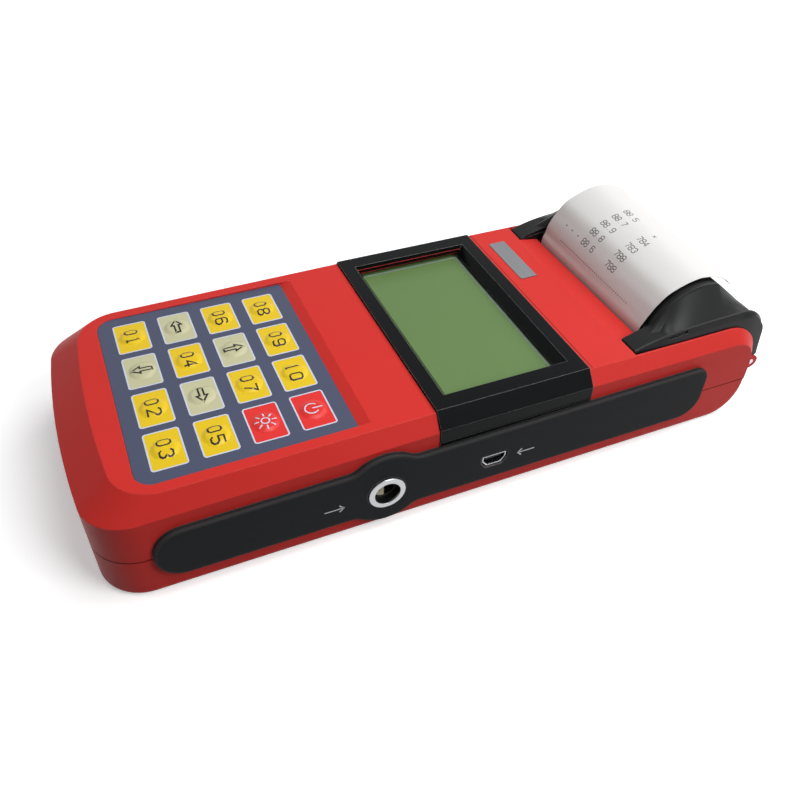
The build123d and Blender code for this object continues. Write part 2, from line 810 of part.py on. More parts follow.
# Small connector on the edge of the main board
with BuildPart() as usb_shell:
    usb_bar(0, (usb_mouth_x - usb_depth, usb_mouth_x))
    usb_bar(-usb_wall, (usb_mouth_x - usb_depth + usb_wall, usb_mouth_x), Mode.SUBTRACT)
finish(usb_shell, "usb_shell")

with BuildPart() as usb_tongue:
    tongue_plane = Plane((usb_mouth_x - usb_depth + usb_wall, usb_y, usb_z), x_dir=(0, 1, 0), z_dir=(1, 0, 0))
    with BuildSketch(tongue_plane):
        with Locations((0, usb_height / 8)):
            Rectangle(usb_width * 0.66, usb_height * 0.25)
    extrude(amount=usb_depth - 3 * usb_wall)
finish(usb_tongue, "usb_tongue")

with BuildPart() as main_board:
    with BuildSketch(Plane.XY.offset(board_bottom_z)):
        with Locations((0, (board_front_y + board_rear_y) / 2)):
            Rectangle(2 * board_half, board_rear_y - board_front_y)
        with Locations(*board_screw_places):
            Circle(screw_radius + snug_gap, mode=Mode.SUBTRACT)
    extrude(amount=board_thickness)
finish(main_board, "main_board")

# Rechargeable pack of three cells side by side in one wrap
with BuildPart() as battery_pack:
    cell_radius = battery_height / 2
    with BuildSketch(Plane((0, keypad_y + battery_length / 2, battery_z + cell_radius), x_dir=(1, 0, 0), z_dir=(0, -1, 0))):
        for cell in (-1, 0, 1):
            with Locations((cell * (battery_width / 2 - cell_radius), 0)):
                Circle(cell_radius)
        Rectangle(battery_width - battery_height, battery_height * 0.8)
    extrude(amount=battery_length)
finish(battery_pack, "battery_pack")

with BuildPart() as battery_door:
    with BuildSketch(Plane((0, keypad_y, 0))) as door:
        Rectangle(door_width - 2 * door_gap, door_length - 2 * door_gap)
        fillet(door.vertices(), door_gap)
        with Locations(*[(x, y - keypad_y) for x, y in door_screw_places]):
            Circle(screw_radius + snug_gap, mode=Mode.SUBTRACT)
    extrude(amount=door_thickness - seat_gap)
    with BuildSketch():
        with Locations(*door_screw_places):
            Circle(screw_head_radius + snug_gap)
    extrude(amount=door_head_height, mode=Mode.SUBTRACT)
finish(battery_door, "battery_door")

# Fasteners, each kind as one group of identical screws pointing up
with BuildPart() as housing_screws:
    with Locations(*[(x, y, screw_seat_z) for x, y, top in boss_places]):
        add(screw(screw_length))
finish(housing_screws, "housing_screws")

with BuildPart() as battery_door_screws:
    with Locations(*[(x, y, door_head_height) for x, y in door_screw_places]):
        add(screw(small_screw_length))
finish(battery_door_screws, "battery_door_screws")

with BuildPart() as board_screws:
    with Locations(*[Location((x, y, board_top_z), (180, 0, 0)) for x, y in board_screw_places]):
        add(screw(small_screw_length - board_thickness))
finish(board_screws, "board_screws")

# Printer frame: a trough for the paper roll between two side plates, with a wall for the head
with BuildPart() as printer_frame:
    trough_low = wall + frame_gap
    with BuildSketch(lengthwise(-ear_half)):
        with Locations((roll_y, trough_z)):
            Circle(trough_outer_radius)
            Circle(trough_inner_radius, mode=Mode.SUBTRACT)
        with Locations((roll_y, trough_z + trough_outer_radius)):
            Rectangle(4 * trough_outer_radius, 2 * (trough_outer_radius - trough_top_z + trough_z), mode=Mode.SUBTRACT)
    extrude(amount=2 * ear_half)
    for side in (-1, 1):
        with BuildSketch(lengthwise(side * ear_half)):
            with BuildLine():
                Polyline(
                    (roll_y + trough_outer_radius, trough_top_z),
                    (roll_y + trough_outer_radius / 2, trough_low),
                    (motor_y - motor_radius, trough_low),
                    (motor_y - motor_radius, motor_z + motor_radius),
                    (head_wall_y, head_low_z - wall),
                    (head_wall_y, head_top_z),
                    (head_wall_y + 3 * cover_wall, head_top_z),
                    (head_wall_y + 3 * cover_wall, trough_top_z),
                    close=True,
                )
            make_face()
        extrude(amount=-side * cover_wall)
    block((-ear_half, ear_half), (head_wall_y, head_wall_y + frame_wall), (head_low_z - wall, head_top_z))
    rod(motor_y, motor_z, motor_shaft_radius * 2, (0, ear_half + cut_margin), Mode.SUBTRACT)
    rod(idler_y, idler_z, axle_radius, (ear_half - cover_wall / 2, gear_inner_x + gear_thickness + cut_margin))
finish(printer_frame, "printer_frame")


def gear(teeth, bore_radius, tooth_angle, y, z):
    """Spur gear lying along X about y, z, with the middle of one tooth at the given angle from +Y."""
    pitch_radius = gear_module * teeth / 2
    root, tip = pitch_radius - 1.25 * gear_module, pitch_radius + 0.9 * gear_module
    thick = gear_module * pi / 2 - mesh_slack
    flank = [(root, 0.75 * thick), (pitch_radius, 0.5 * thick), (tip, 0.25 * thick)]
    with BuildPart() as wheel:
        with BuildSketch(Plane((gear_inner_x, y, z), x_dir=(0, 1, 0), z_dir=(1, 0, 0))):
            Circle(root)
            with BuildSketch(mode=Mode.PRIVATE) as tooth:
                with BuildLine():
                    Polyline(
                        (root / 2, 0.75 * thick),
                        *flank,
                        *[(radius, -half) for radius, half in reversed(flank)],
                        (root / 2, -0.75 * thick),
                        close=True,
                    )
                make_face()
            with PolarLocations(0, teeth, start_angle=tooth_angle):
                add(tooth.sketch)
            Circle(bore_radius, mode=Mode.SUBTRACT)
        extrude(amount=gear_thickness)
    return wheel.part


def meshing_angle(teeth, leader_teeth, leader_angle, direction):
    """Tooth angle of a gear whose gap takes the leader's tooth, seen from the leader towards it."""
    return direction + 180 * (1 + 1 / teeth) - (leader_angle - direction) * leader_teeth / teeth


# Paper feed: rubber platen on its shaft, its gear, the idler and the motor with its pinion
with BuildPart() as platen_roller:
    rod(platen_y, platen_z, platen_radius, (-platen_half, platen_half))
    chamfer(platen_roller.edges().filter_by(GeomType.CIRCLE), platen_radius / 20)
    rod(platen_y, platen_z, platen_shaft_radius + snug_gap, (-platen_half, platen_half), Mode.SUBTRACT)
finish(platen_roller, "platen_roller")

gear_end_x = gear_inner_x + gear_thickness
with BuildPart() as platen_shaft:
    rod(platen_y, platen_z, platen_shaft_radius, (-ear_half - running_clearance, gear_end_x))
finish(platen_shaft, "platen_shaft")

feed_direction = degrees(atan2(idler_z - platen_z, idler_y - platen_y))
motor_direction = degrees(pinion_angle)
idler_angle = meshing_angle(idler_teeth, platen_teeth, feed_direction, feed_direction)
pinion_tooth = meshing_angle(pinion_teeth, idler_teeth, idler_angle, motor_direction)

with BuildPart() as platen_gear:
    add(gear(platen_teeth, platen_shaft_radius + snug_gap, feed_direction, platen_y, platen_z))
finish(platen_gear, "platen_gear")

with BuildPart() as idler_gear:
    add(gear(idler_teeth, axle_radius + running_clearance, idler_angle, idler_y, idler_z))
finish(idler_gear, "idler_gear")

motor_face_x = ear_inner - seat_gap
with BuildPart() as motor_pinion:
    add(gear(pinion_teeth, 0.01, pinion_tooth, motor_y, motor_z))
    rod(motor_y, motor_z, motor_shaft_radius, (motor_face_x - motor_shaft_radius, gear_end_x))
finish(motor_pinion, "motor_pinion")

with BuildPart() as feed_motor:
    rod(motor_y, motor_z, motor_radius, (motor_face_x - motor_length, motor_face_x))
    block(
        (motor_face_x - frame_wall, motor_face_x),
        (motor_y - motor_radius, motor_y + motor_radius),
        (motor_z - motor_radius / 2, motor_z + motor_radius / 2),
    )
    rod(
        motor_y,
        motor_z,
        motor_shaft_radius + running_clearance,
        (motor_face_x - motor_shaft_radius - snug_gap, motor_face_x),
        Mode.SUBTRACT,
    )
finish(feed_motor, "feed_motor")

# Thermal head on its heat sink, pushed by a leaf spring against the paper
with BuildPart() as thermal_head:
    block(
        (-platen_half, platen_half),
        (head_face_y - head_thickness, head_face_y),
        (head_low_z, head_top_z),
    )
finish(thermal_head, "thermal_head")

sink_rear_y = head_face_y - head_thickness
with BuildPart() as head_sink:
    block(
        (-platen_half - frame_gap, platen_half + frame_gap),
        (sink_rear_y - sink_thickness, sink_rear_y),
        (head_low_z, head_top_z),
    )
finish(head_sink, "head_sink")

spring_y = head_wall_y + frame_wall
with BuildPart() as head_spring:
    with BuildSketch(Plane.XY.offset(head_low_z + seat_gap)):
        with BuildLine():
            ThreePointArc(
                (-spring_half, spring_y + snug_gap),
                (0, spring_y + spring_gap - snug_gap),
                (spring_half, spring_y + snug_gap),
            )
            Line((spring_half, spring_y + snug_gap), (spring_half - 1, spring_y + snug_gap))
            ThreePointArc(
                (spring_half - 1, spring_y + snug_gap),
                (0, spring_y + spring_gap - snug_gap - spring_thickness),
                (1 - spring_half, spring_y + snug_gap),
            )
            Line((1 - spring_half, spring_y + snug_gap), (-spring_half, spring_y + snug_gap))
        make_face()
    extrude(amount=head_height - 2 * seat_gap)
finish(head_spring, "head_spring")

# Paper: the roll on its core with the web towards the print line, and the printed strip
roll_half = paper_width / 2
with BuildPart() as paper_roll:
    rod(roll_y, roll_z, roll_radius, (-roll_half, roll_half))
    with BuildSketch(lengthwise(-roll_half)):
        with BuildLine():
            web_start = Vector(roll_y - 0.85 * roll_radius, roll_z + 0.45 * roll_radius)
            web_end = Vector(slot_y + 2 * paper_gap, platen_z - 0.85 * platen_radius)
            across = (web_end - web_start).normalized().rotate(Axis.Z, 90) * paper_thickness
            Polyline(web_start, web_end, web_end - across, web_start - across, close=True)
        make_face()
    extrude(amount=paper_width)
    rod(roll_y, roll_z, core_radius + snug_gap, (-roll_half, roll_half), Mode.SUBTRACT)
finish(paper_roll, "paper_roll")

with BuildPart() as paper_core:
    rod(roll_y, roll_z, core_radius, (-roll_half, roll_half))
    rod(roll_y, roll_z, core_radius - core_wall, (-roll_half, roll_half), Mode.SUBTRACT)
finish(paper_core, "paper_core")


def paper_edge(x, rise):
    """Section of the paper strip at x: up through the slot, then over the cover, lifted by rise."""
    start_y = head_face_y + seat_gap + paper_thickness
    path = [(start_y, platen_z - platen_radius / 2), (start_y, platen_z)]
    path.append((start_y + seat_gap, head_top_z))
    for angle, share in ((160, 0.2), (140, 0.5), (120, 0.8), (90, 1), (62, 1), (42, 0.8)):
        reach = hump_radius + 3 * paper_gap + share * rise
        path.append((hump_y + reach * cos(radians(angle)), hump_z + reach * sin(radians(angle))))
    with BuildSketch(lengthwise(x)) as section:
        with BuildLine():
            under = Spline(*path)
            steps = [step / 8 for step in range(9)]
            above = [under @ step + (under % step).rotate(Axis.Z, 90) * paper_thickness for step in steps]
            over = Spline(*above)
            Line(under @ 0, over @ 0)
            Line(under @ 1, over @ 1)
        make_face()
    return section.sketch.face()


with BuildPart() as paper_strip:
    loft([paper_edge(-roll_half, paper_lift), paper_edge(roll_half, 0)], ruled=True)
finish(paper_strip, "paper_strip")


def rear_wall(z, inset):
    """Place along Y of the leaning rear wall of the cover at height z."""
    return cover_rear_y - inset - cover_lean_rate * (z - leg_z)


def rear_slope(z, inset):
    """Place along Y of the straight slope behind the crest at height z."""
    slope = radians(hump_slope)
    return crest_y + (crest_z - z) / tan(slope) - inset / sin(slope)


def rear_path(top_z, inset, rear_in, foot_z):
    """Points down the back of the cover: start of the slope, its corner with the wall, foot."""
    fall = 1 / tan(radians(hump_slope))
    spare = rear_slope(0, inset) - rear_in - rear_wall(0, inset + rear_in)
    corner_z = spare / (fall - cover_lean_rate)
    return [
        (rear_slope(top_z, inset) - rear_in, top_z),
        (rear_wall(corner_z, inset + rear_in), corner_z),
        (rear_wall(foot_z, inset + rear_in), foot_z),
    ]


def skirt_section(x, inset, front_z, top_z, rear_in):
    """Cover in lengthwise section: ridge rising from the arms, slope, rounded corner, rear wall."""
    front_y = arm_front_y + inset
    rear_foot, front_foot = (0, 0) if inset else (leg_z, skirt_floor_z)
    top, corner, foot = rear_path(top_z - inset, inset, rear_in, rear_foot)
    leg = [] if inset else [(leg_y, rear_foot), (leg_y, front_foot)]
    with BuildSketch(lengthwise(x)) as section:
        with BuildLine():
            Polyline(
                (front_y, front_foot),
                (front_y, front_z - inset),
                (front_y + ridge_run, top_z - inset),
                top,
                corner,
                foot,
                *leg,
                close=True,
            )
        make_face()
        fillet(section.vertices().sort_by_distance(corner).first, cover_corner_radius - inset)
    return section.sketch.face()


def hump_section(x, inset):
    """Round back over the paper roll in lengthwise section, in two arcs, and its rear slope."""
    radius = hump_radius - inset
    start_angle = 180 - degrees(asin((ridge_front_z - hump_z) / hump_radius))
    end_angle = degrees(acos((crest_y - hump_y) / hump_radius))
    angles = [start_angle + (end_angle - start_angle) * share / 4 for share in range(5)]
    arc = [(hump_y + radius * cos(radians(a)), hump_z + radius * sin(radians(a))) for a in angles]
    rear_foot, front_foot = (0, 0) if inset else (leg_z, ridge_front_z - cover_wall)
    corner, foot = rear_path(crest_z, inset, 0, rear_foot)[1:]
    with BuildSketch(lengthwise(x)) as section:
        with BuildLine():
            ThreePointArc(arc[0], arc[1], arc[2])
            ThreePointArc(arc[2], arc[3], arc[4])
            Polyline(arc[4], corner, foot, (arc[0][0], front_foot), arc[0])
        make_face()
        fillet(section.vertices().sort_by_distance(corner).first, cover_corner_radius - inset)
    return section.sketch.face()


def ridge_face(x, inset):
    """Section of the ridge at the outer foot of a cheek, a hair inside the skirt's own."""
    front_y, margin = arm_front_y + inset + snug_gap, inset + snug_gap
    rear_foot, front_foot = (0, 0) if inset else (leg_z, ridge_front_z - cover_wall)
    top, corner, foot = rear_path(ridge_z - margin, inset, 0, rear_foot)
    with BuildSketch(lengthwise(x)) as section:
        with BuildLine():
            Polyline(
                (front_y, front_foot),
                (front_y, ridge_front_z - margin),
                (front_y + ridge_run, ridge_z - margin),
                top,
                corner,
                foot,
                close=True,
            )
        make_face()
        fillet(section.vertices().sort_by_distance(corner).first, cover_corner_radius - inset)
    return section.sketch.face()


def hump(inset):
    """Round back with a sloping cheek at each side, or its hollow when it is inset by the wall."""
    cheek, ridge = cheek_half - inset, ridge_half - inset - snug_gap
    with BuildPart() as body:
        extrude(hump_section(-cheek, inset), amount=2 * cheek)
        for side in (-1, 1):
            loft([hump_section(side * cheek, inset), ridge_face(side * ridge, inset)], ruled=True)
    return body.part


def ear_profile():
    """Plate from the shell of the hump down round the platen shaft."""
    ear_rear = platen_y + ear_radius
    arc_points = [
        (hump_y + hump_radius * cos(radians(angle)), hump_z + hump_radius * sin(radians(angle)))
        for angle in (165, 140)
    ]
    with BuildSketch() as profile:
        with BuildLine():
            Polyline(
                (platen_y - ear_radius, platen_z),
                *arc_points,
                (ear_rear, arc_points[1][1]),
                (ear_rear, platen_z),
                close=True,
            )
        make_face()
        with Locations((platen_y, platen_z)):
            Circle(ear_radius)
    return profile.sketch


# Printer cover: skirt with a ridge, hump, arms beside the slot, ears for the platen and the knuckle
with BuildPart() as printer_cover:
    extrude(skirt_section(-ridge_half, 0, ridge_front_z, ridge_z, 0), amount=2 * ridge_half)
    for side in (-1, 1):
        loft(
            [
                skirt_section(side * ridge_half, 0, ridge_front_z, ridge_z, 0),
                skirt_section(side * cover_half, 0, skirt_front_z, skirt_z, skirt_rear_in),
            ],
            ruled=True,
        )
    add(hump(0))
    # The slot between the arms, and the hollow under skirt and hump
    block((-slot_half, slot_half), (display_y, hump_y - hump_radius), (0, 2 * hump_z), Mode.SUBTRACT)
    hollow_half = cover_half - cover_wall
    extrude(
        skirt_section(-hollow_half, cover_wall, skirt_front_z, skirt_z, 0),
        amount=2 * hollow_half,
        mode=Mode.SUBTRACT,
    )
    add(hump(cover_wall), mode=Mode.SUBTRACT)
    # Ears that carry the platen shaft, and room for the roller and its gear
    for x in (-ear_half, ear_inner):
        extrude(lengthwise(x) * ear_profile(), amount=cover_wall)
    rod(platen_y, platen_z, platen_shaft_radius + running_clearance, (-ear_half, ear_half), Mode.SUBTRACT)
    rod(platen_y, platen_z, platen_radius + hinge_clearance, (-ear_inner, ear_inner), Mode.SUBTRACT)
    gear_room = platen_pitch_radius + 2 * gear_module
    rod(platen_y, platen_z, gear_room, (ear_half, gear_end_x + hinge_clearance), Mode.SUBTRACT)
    # Rear wall continues down to the knuckle, which turns on the hinge pin
    block((-barrel_half, barrel_half), (cover_rear_y - cover_wall, cover_rear_y), (hinge_z, leg_z + cover_wall))
    rod(hinge_y, hinge_z, barrel_radius, (-barrel_half, barrel_half))
    rod(hinge_y, hinge_z, hinge_pin_radius, (-barrel_half, barrel_half), Mode.SUBTRACT)
    # Finger notch under each ridge
    for side in (-1, 1):
        notch = sorted((side * (cover_half - cover_wall / 2), side * (cover_half + cover_wall)))
        block(
            notch,
            (notch_y, notch_y + notch_length),
            (skirt_floor_z, skirt_z + cover_wall / 2),
            Mode.SUBTRACT,
        )
finish(printer_cover, "printer_cover")

with BuildPart() as hinge_pin:
    rod(hinge_y, hinge_z, hinge_pin_radius - snug_gap, (-bay_half, bay_half))
finish(hinge_pin, "hinge_pin")
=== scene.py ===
"""Looks of a hand-held hardness tester with a built-in strip printer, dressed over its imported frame."""

import logging
import math
from dataclasses import dataclass, field, replace
from enum import Enum
from typing import Callable

import bpy
from mathutils import Matrix, Vector


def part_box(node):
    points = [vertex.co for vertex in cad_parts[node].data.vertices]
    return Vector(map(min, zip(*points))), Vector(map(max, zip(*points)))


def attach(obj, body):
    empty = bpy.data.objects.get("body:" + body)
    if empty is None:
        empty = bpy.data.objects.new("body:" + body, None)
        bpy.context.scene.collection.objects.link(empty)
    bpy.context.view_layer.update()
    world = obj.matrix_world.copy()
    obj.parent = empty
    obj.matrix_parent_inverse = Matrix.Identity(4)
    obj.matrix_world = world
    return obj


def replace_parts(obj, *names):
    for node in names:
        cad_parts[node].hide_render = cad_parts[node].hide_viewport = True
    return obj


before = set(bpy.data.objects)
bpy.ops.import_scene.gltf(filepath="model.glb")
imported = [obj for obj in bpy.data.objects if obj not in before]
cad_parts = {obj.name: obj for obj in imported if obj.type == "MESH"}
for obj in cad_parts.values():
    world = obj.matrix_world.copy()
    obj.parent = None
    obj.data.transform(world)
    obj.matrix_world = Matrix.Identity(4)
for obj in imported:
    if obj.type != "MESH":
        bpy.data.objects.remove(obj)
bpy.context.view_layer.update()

MM = 0.001
SHARP_ANGLE = 35.0
# Shortest share of a line's width that a mitred corner of a drawn line keeps.
MITRE = 0.45
# Tint of the painted edge highlight and edge wear, and the cosine between the true and the rounded normal
# where it is full.
EDGE_HIGHLIGHT_AND_WEAR_TINT = (1.0, 0.9, 0.86, 1.0)
EDGE_HIGHLIGHT_AND_WEAR_COSINE = 0.8
Point2 = tuple[float, float]
Point3 = tuple[float, float, float]
Quad = list[Point2]
Face = tuple[int, ...]
Surface = Callable[[float, float], Point3]
Tree = bpy.types.NodeTree
Node = bpy.types.Node
Socket = bpy.types.NodeSocket
log = logging.getLogger("tester")


def srgb(code: str) -> tuple[float, float, float, float]:
    """Turn an sRGB hex colour into the linear values that Blender works in.

    Args:
        code: Colour as "#RRGGBB".

    Returns:
        Linear red, green, blue and an alpha of one.
    """
    parts = [int(code[i : i + 2], 16) / 255 for i in (1, 3, 5)]
    red, green, blue = (p / 12.92 if p <= 0.04045 else ((p + 0.055) / 1.055) ** 2.4 for p in parts)
    return red, green, blue, 1.0


def add_node(tree: Tree, kind: str, settings: dict | None = None, links: dict | None = None) -> Node:
    """Add one node to a tree, set its values and link its inputs.

    Args:
        tree: The tree that gets the node.
        kind: Blender's type name of the node.
        settings: Values by property name, or by input name or number.
        links: Output sockets by the name or number of the input that they feed.

    Returns:
        The new node.
    """
    node = tree.nodes.new(kind)
    for key, value in (settings or {}).items():
        if isinstance(key, str) and hasattr(node, key):
            setattr(node, key, value)
        else:
            node.inputs[key].default_value = value
    for key, socket in (links or {}).items():
        tree.links.new(socket, node.inputs[key])
    return node


@dataclass(frozen=True)
class Finish:
    """A finish with fine relief, a slow drift of colour and slightly rounded edges, lightened by a painted
    highlight and wear.

    Sizes are in millimetres. A subclass adds its own pattern by giving another pattern method.
    """

    name: str
    colour: str
    roughness: float
    slot: str
    ior: float = 1.5
    metallic: float = 0.0
    specular: float = 0.5
    coat: float = 0.0
    grain_mm: float = 0.8
    grain_height_mm: float = 0.01
    drift_mm: float = 30.0
    drift: float = 0.06
    roughness_spread: float = 0.06
    edge_mm: float = 0.0
    edge_light: float = 0.0
    alpha: float = 1.0

    def drifted(self, tree: Tree, place: Socket) -> Socket:
        """Colour of the finish, drifting slowly between a darker and a lighter shade.

        Args:
            tree: The material's node tree.
            place: Socket that gives the point on the object.

        Returns:
            Socket with the colour.
        """
        base = srgb(self.colour)[:3]
        dark = [c * (1 - self.drift) for c in base] + [1.0]
        light = [min(1.0, c * (1 + self.drift)) for c in base] + [1.0]
        scale = 1 / (self.drift_mm * MM)
        noise = add_node(tree, "ShaderNodeTexNoise", {"Scale": scale, "Detail": 3.0}, {"Vector": place})
        shades = {"data_type": "RGBA", 6: dark, 7: light}
        return add_node(tree, "ShaderNodeMix", shades, {0: noise.outputs["Fac"]}).outputs[2]

    def pattern(self, tree: Tree, place: Socket, colour: Socket) -> tuple[Socket, Socket]:
        """Relief of the surface, and the colour with the pattern worked in.

        Args:
            tree: The material's node tree.
            place: Socket that gives the point on the object.
            colour: Socket with the plain colour.

        Returns:
            Sockets with the relief height from 0 to 1 and with the colour.
        """
        settings = {"Scale": 1 / (self.grain_mm * MM), "Detail": 2.0, "Roughness": 0.6}
        grain = add_node(tree, "ShaderNodeTexNoise", settings, {"Vector": place})
        return grain.outputs["Fac"], colour

    def material(self) -> bpy.types.Material:
        """Build the material, or give the one already built under this name.

        Returns:
            The material.
        """
        if self.name in bpy.data.materials:
            return bpy.data.materials[self.name]
        made = bpy.data.materials.new(self.name)
        made.use_nodes = True
        tree = made.node_tree
        tree.nodes.clear()
        place = add_node(tree, "ShaderNodeTexCoord").outputs["Object"]
        height, colour = self.pattern(tree, place, self.drifted(tree, place))
        relief = {"Height": height}
        if self.edge_mm:
            rounded = add_node(tree, "ShaderNodeBevel", {"samples": 4, "Radius": self.edge_mm * MM})
            relief["Normal"] = rounded.outputs["Normal"]
            # Painted highlight and wear on the rounded edges.
            if self.edge_light:
                colour = self.lit_edges(tree, relief["Normal"], colour)
        bump = add_node(tree, "ShaderNodeBump", {"Distance": self.grain_height_mm * MM}, relief)
        low, high = self.roughness - self.roughness_spread, self.roughness + self.roughness_spread
        spread = add_node(tree, "ShaderNodeMapRange", {"To Min": low, "To Max": high}, {"Value": height})
        settings = {
            "Metallic": self.metallic,
            "IOR": self.ior,
            "Specular IOR Level": self.specular,
            "Coat Weight": self.coat,
            "Coat Roughness": 0.1,
            "Alpha": self.alpha,
        }
        links = {
            "Base Color": colour,
            "Roughness": spread.outputs["Result"],
            "Normal": bump.outputs["Normal"],
        }
        shader = add_node(tree, "ShaderNodeBsdfPrincipled", settings, links)
        add_node(tree, "ShaderNodeOutputMaterial", {}, {"Surface": shader.outputs["BSDF"]})
        made.diffuse_color = srgb(self.colour)
        return made

    def lit_edges(self, tree: Tree, rounded: Socket, colour: Socket) -> Socket:
        """Lighten the colour where the rounded normal leaves the true one: a painted edge highlight, with
        some edge wear.

        Args:
            tree: The material's node tree.
            rounded: Socket with the rounded normal.
            colour: Socket with the colour so far.

        Returns:
            Socket with the colour.
        """
        true = add_node(tree, "ShaderNodeNewGeometry").outputs["Normal"]
        dot = add_node(tree, "ShaderNodeVectorMath", {"operation": "DOT_PRODUCT"}, {0: rounded, 1: true})
        # Painted highlight and wear: the further the rounded normal turns from the true one, the paler the
        # colour.
        limits = {"From Min": 1.0, "From Max": EDGE_HIGHLIGHT_AND_WEAR_COSINE, "To Min": 0.0, "To Max": self.edge_light}
        highlight_and_wear = add_node(tree, "ShaderNodeMapRange", limits, {"Value": dot.outputs["Value"]})
        pale = {"data_type": "RGBA", 7: EDGE_HIGHLIGHT_AND_WEAR_TINT}
        return add_node(tree, "ShaderNodeMix", pale, {0: highlight_and_wear.outputs["Result"], 6: colour}).outputs[2]


@dataclass(frozen=True)
class StreakFinish(Finish):
    """Streaks along X, far longer than they are wide: brushing on metal, or soft fibres in paper."""

    streak_mm: float = 12.0
    share: float = 0.35
    detail: float = 3.0
    bend: float = 0.0

    def pattern(self, tree: Tree, place: Socket, colour: Socket) -> tuple[Socket, Socket]:
        """Relief and colour of the streaks.

        Args:
            tree: The material's node tree.
            place: Socket that gives the point on the object.
            colour: Socket with the plain colour.

        Returns:
            Sockets with the relief height and with the colour.
        """
        across = 1 / (self.grain_mm * MM)
        scale = {"Scale": (1 / (self.streak_mm * MM), across, across)}
        stretched = add_node(tree, "ShaderNodeMapping", scale, {"Vector": place}).outputs["Vector"]
        settings = {"Scale": 1.0, "Detail": self.detail, "Distortion": self.bend}
        streak = add_node(tree, "ShaderNodeTexNoise", settings, {"Vector": stretched})
        multiply = {"data_type": "RGBA", "blend_type": "MULTIPLY", 0: self.share}
        shade = add_node(tree, "ShaderNodeMix", multiply, {6: colour, 7: streak.outputs["Fac"]})
        return streak.outputs["Fac"], shade.outputs[2]


@dataclass(frozen=True)
class PanelFinish(Finish):
    """A dot-matrix display at rest: a faint square grid of unlit dots under the polariser."""

    dot_mm: float = 0.5
    gap_share: float = 12.0
    gap_tint: tuple[float, ...] = (0.82, 0.84, 0.82, 1.0)

    def pattern(self, tree: Tree, place: Socket, colour: Socket) -> tuple[Socket, Socket]:
        """Flat relief, and the colour with the grid of dots.

        Args:
            tree: The material's node tree.
            place: Socket that gives the point on the object.
            colour: Socket with the plain colour.

        Returns:
            Sockets with the relief height and with the colour.
        """
        dot = self.dot_mm * MM
        settings = {
            "offset": 0.0,
            "Color1": (1, 1, 1, 1),
            "Color2": (1, 1, 1, 1),
            "Mortar": self.gap_tint,
            "Scale": 1.0,
            "Mortar Size": dot / self.gap_share,
            "Brick Width": dot,
            "Row Height": dot,
        }
        grid = add_node(tree, "ShaderNodeTexBrick", settings, {"Vector": place})
        multiply = {"data_type": "RGBA", "blend_type": "MULTIPLY", 0: 1.0}
        shade = add_node(tree, "ShaderNodeMix", multiply, {6: colour, 7: grid.outputs["Color"]})
        return grid.outputs["Fac"], shade.outputs[2]


# ABS, injection moulded in a spark-eroded tool: a satin skin whose fine grain breaks up each
# reflection, deep red, a little paler on the edges from a painted highlight and some wear.
RED_ABS = Finish(
    "moulded_red_abs", "#CF332E", 0.42, "red_housing", ior=1.53, specular=0.1, grain_mm=0.45,
    grain_height_mm=0.012, drift_mm=60.0, drift=0.04, edge_mm=0.35, edge_light=0.05,
)
# ABS again, in black and finer grained: dull, with long soft highlights along the ridges, partly painted into
# the colour of the edges.
BLACK_ABS = Finish(
    "moulded_black_abs", "#141516", 0.38, "black_cover", ior=1.53, specular=0.16, grain_mm=0.4,
    drift=0.1, edge_mm=0.3, edge_light=0.09,
)
# ABS, blacked out inside: dead black, so that it doesn't show beside the display.
BLACKED_ABS = Finish("blacked_out_abs", "#0A0B0C", 0.6, "black_bezel", specular=0.04)
# ABS in shadow, where two mouldings meet: a thin dull dark red line.
SEAM_SHADOW = Finish("seam_shadow", "#4A0F10", 0.7, "red_housing", specular=0.1, grain_height_mm=0.002)
JOINT_SHADOW = replace(SEAM_SHADOW, name="joint_shadow", colour="#4A100F")
# Acrylic, moulded in a polished tool: smooth, with a slight ripple and thin pale lines on its edges, a
# painted highlight with some wear.
BLACK_ACRYLIC = Finish(
    "polished_black_acrylic", "#0E1112", 0.22, "black_bezel", ior=1.49, specular=0.06, grain_mm=9.0,
    grain_height_mm=0.02, drift=0.1, roughness_spread=0.03, edge_mm=0.25, edge_light=0.32,
)
# Thermoplastic rubber, moulded: matt, slightly blue black, a coarse dry grain, soft paler edges from a
# painted highlight and some wear.
GRIP_RUBBER = Finish(
    "moulded_black_rubber", "#17191B", 0.62, "grip_rubber", ior=1.52, specular=0.08, grain_mm=0.5,
    grain_height_mm=0.02, drift_mm=18.0, drift=0.14, roughness_spread=0.1, edge_mm=0.9, edge_light=0.22,
)
# Polyester film, back-printed and fine textured: an even ink colour under a velvety clear face.
# The texture is coarser than the real 0.05 mm, so that it shows. Four inks on the same film.
BLUE_FILM = Finish(
    "textured_blue_polyester", "#464C63", 0.42, "keypad_film", ior=1.57, specular=0.2, grain_mm=0.35,
    grain_height_mm=0.008, drift_mm=40.0, drift=0.05,
)
YELLOW_FILM = Finish(
    "textured_yellow_polyester", "#E6C312", 0.34, "yellow_key", ior=1.57, specular=0.28, grain_mm=0.35,
    grain_height_mm=0.008, drift=0.03,
)
IVORY_FILM = replace(YELLOW_FILM, name="textured_ivory_polyester", colour="#C4C29C", slot="ivory_key")
RED_FILM = replace(YELLOW_FILM, name="textured_red_polyester", colour="#DE2A26", slot="red_key")
# Screen-printed inks: thin, flat and slightly matt, with a faintly uneven edge of colour.
PALE_INK = Finish(
    "screen_printed_pale_ink", "#CDD3E4", 0.5, "keypad_film", specular=0.3, grain_mm=0.5,
    grain_height_mm=0.003, drift=0.03,
)
BLACK_INK = Finish(
    "screen_printed_black_ink", "#15140F", 0.45, "keypad_film", specular=0.3, grain_mm=0.5,
    grain_height_mm=0.003, drift=0.1,
)
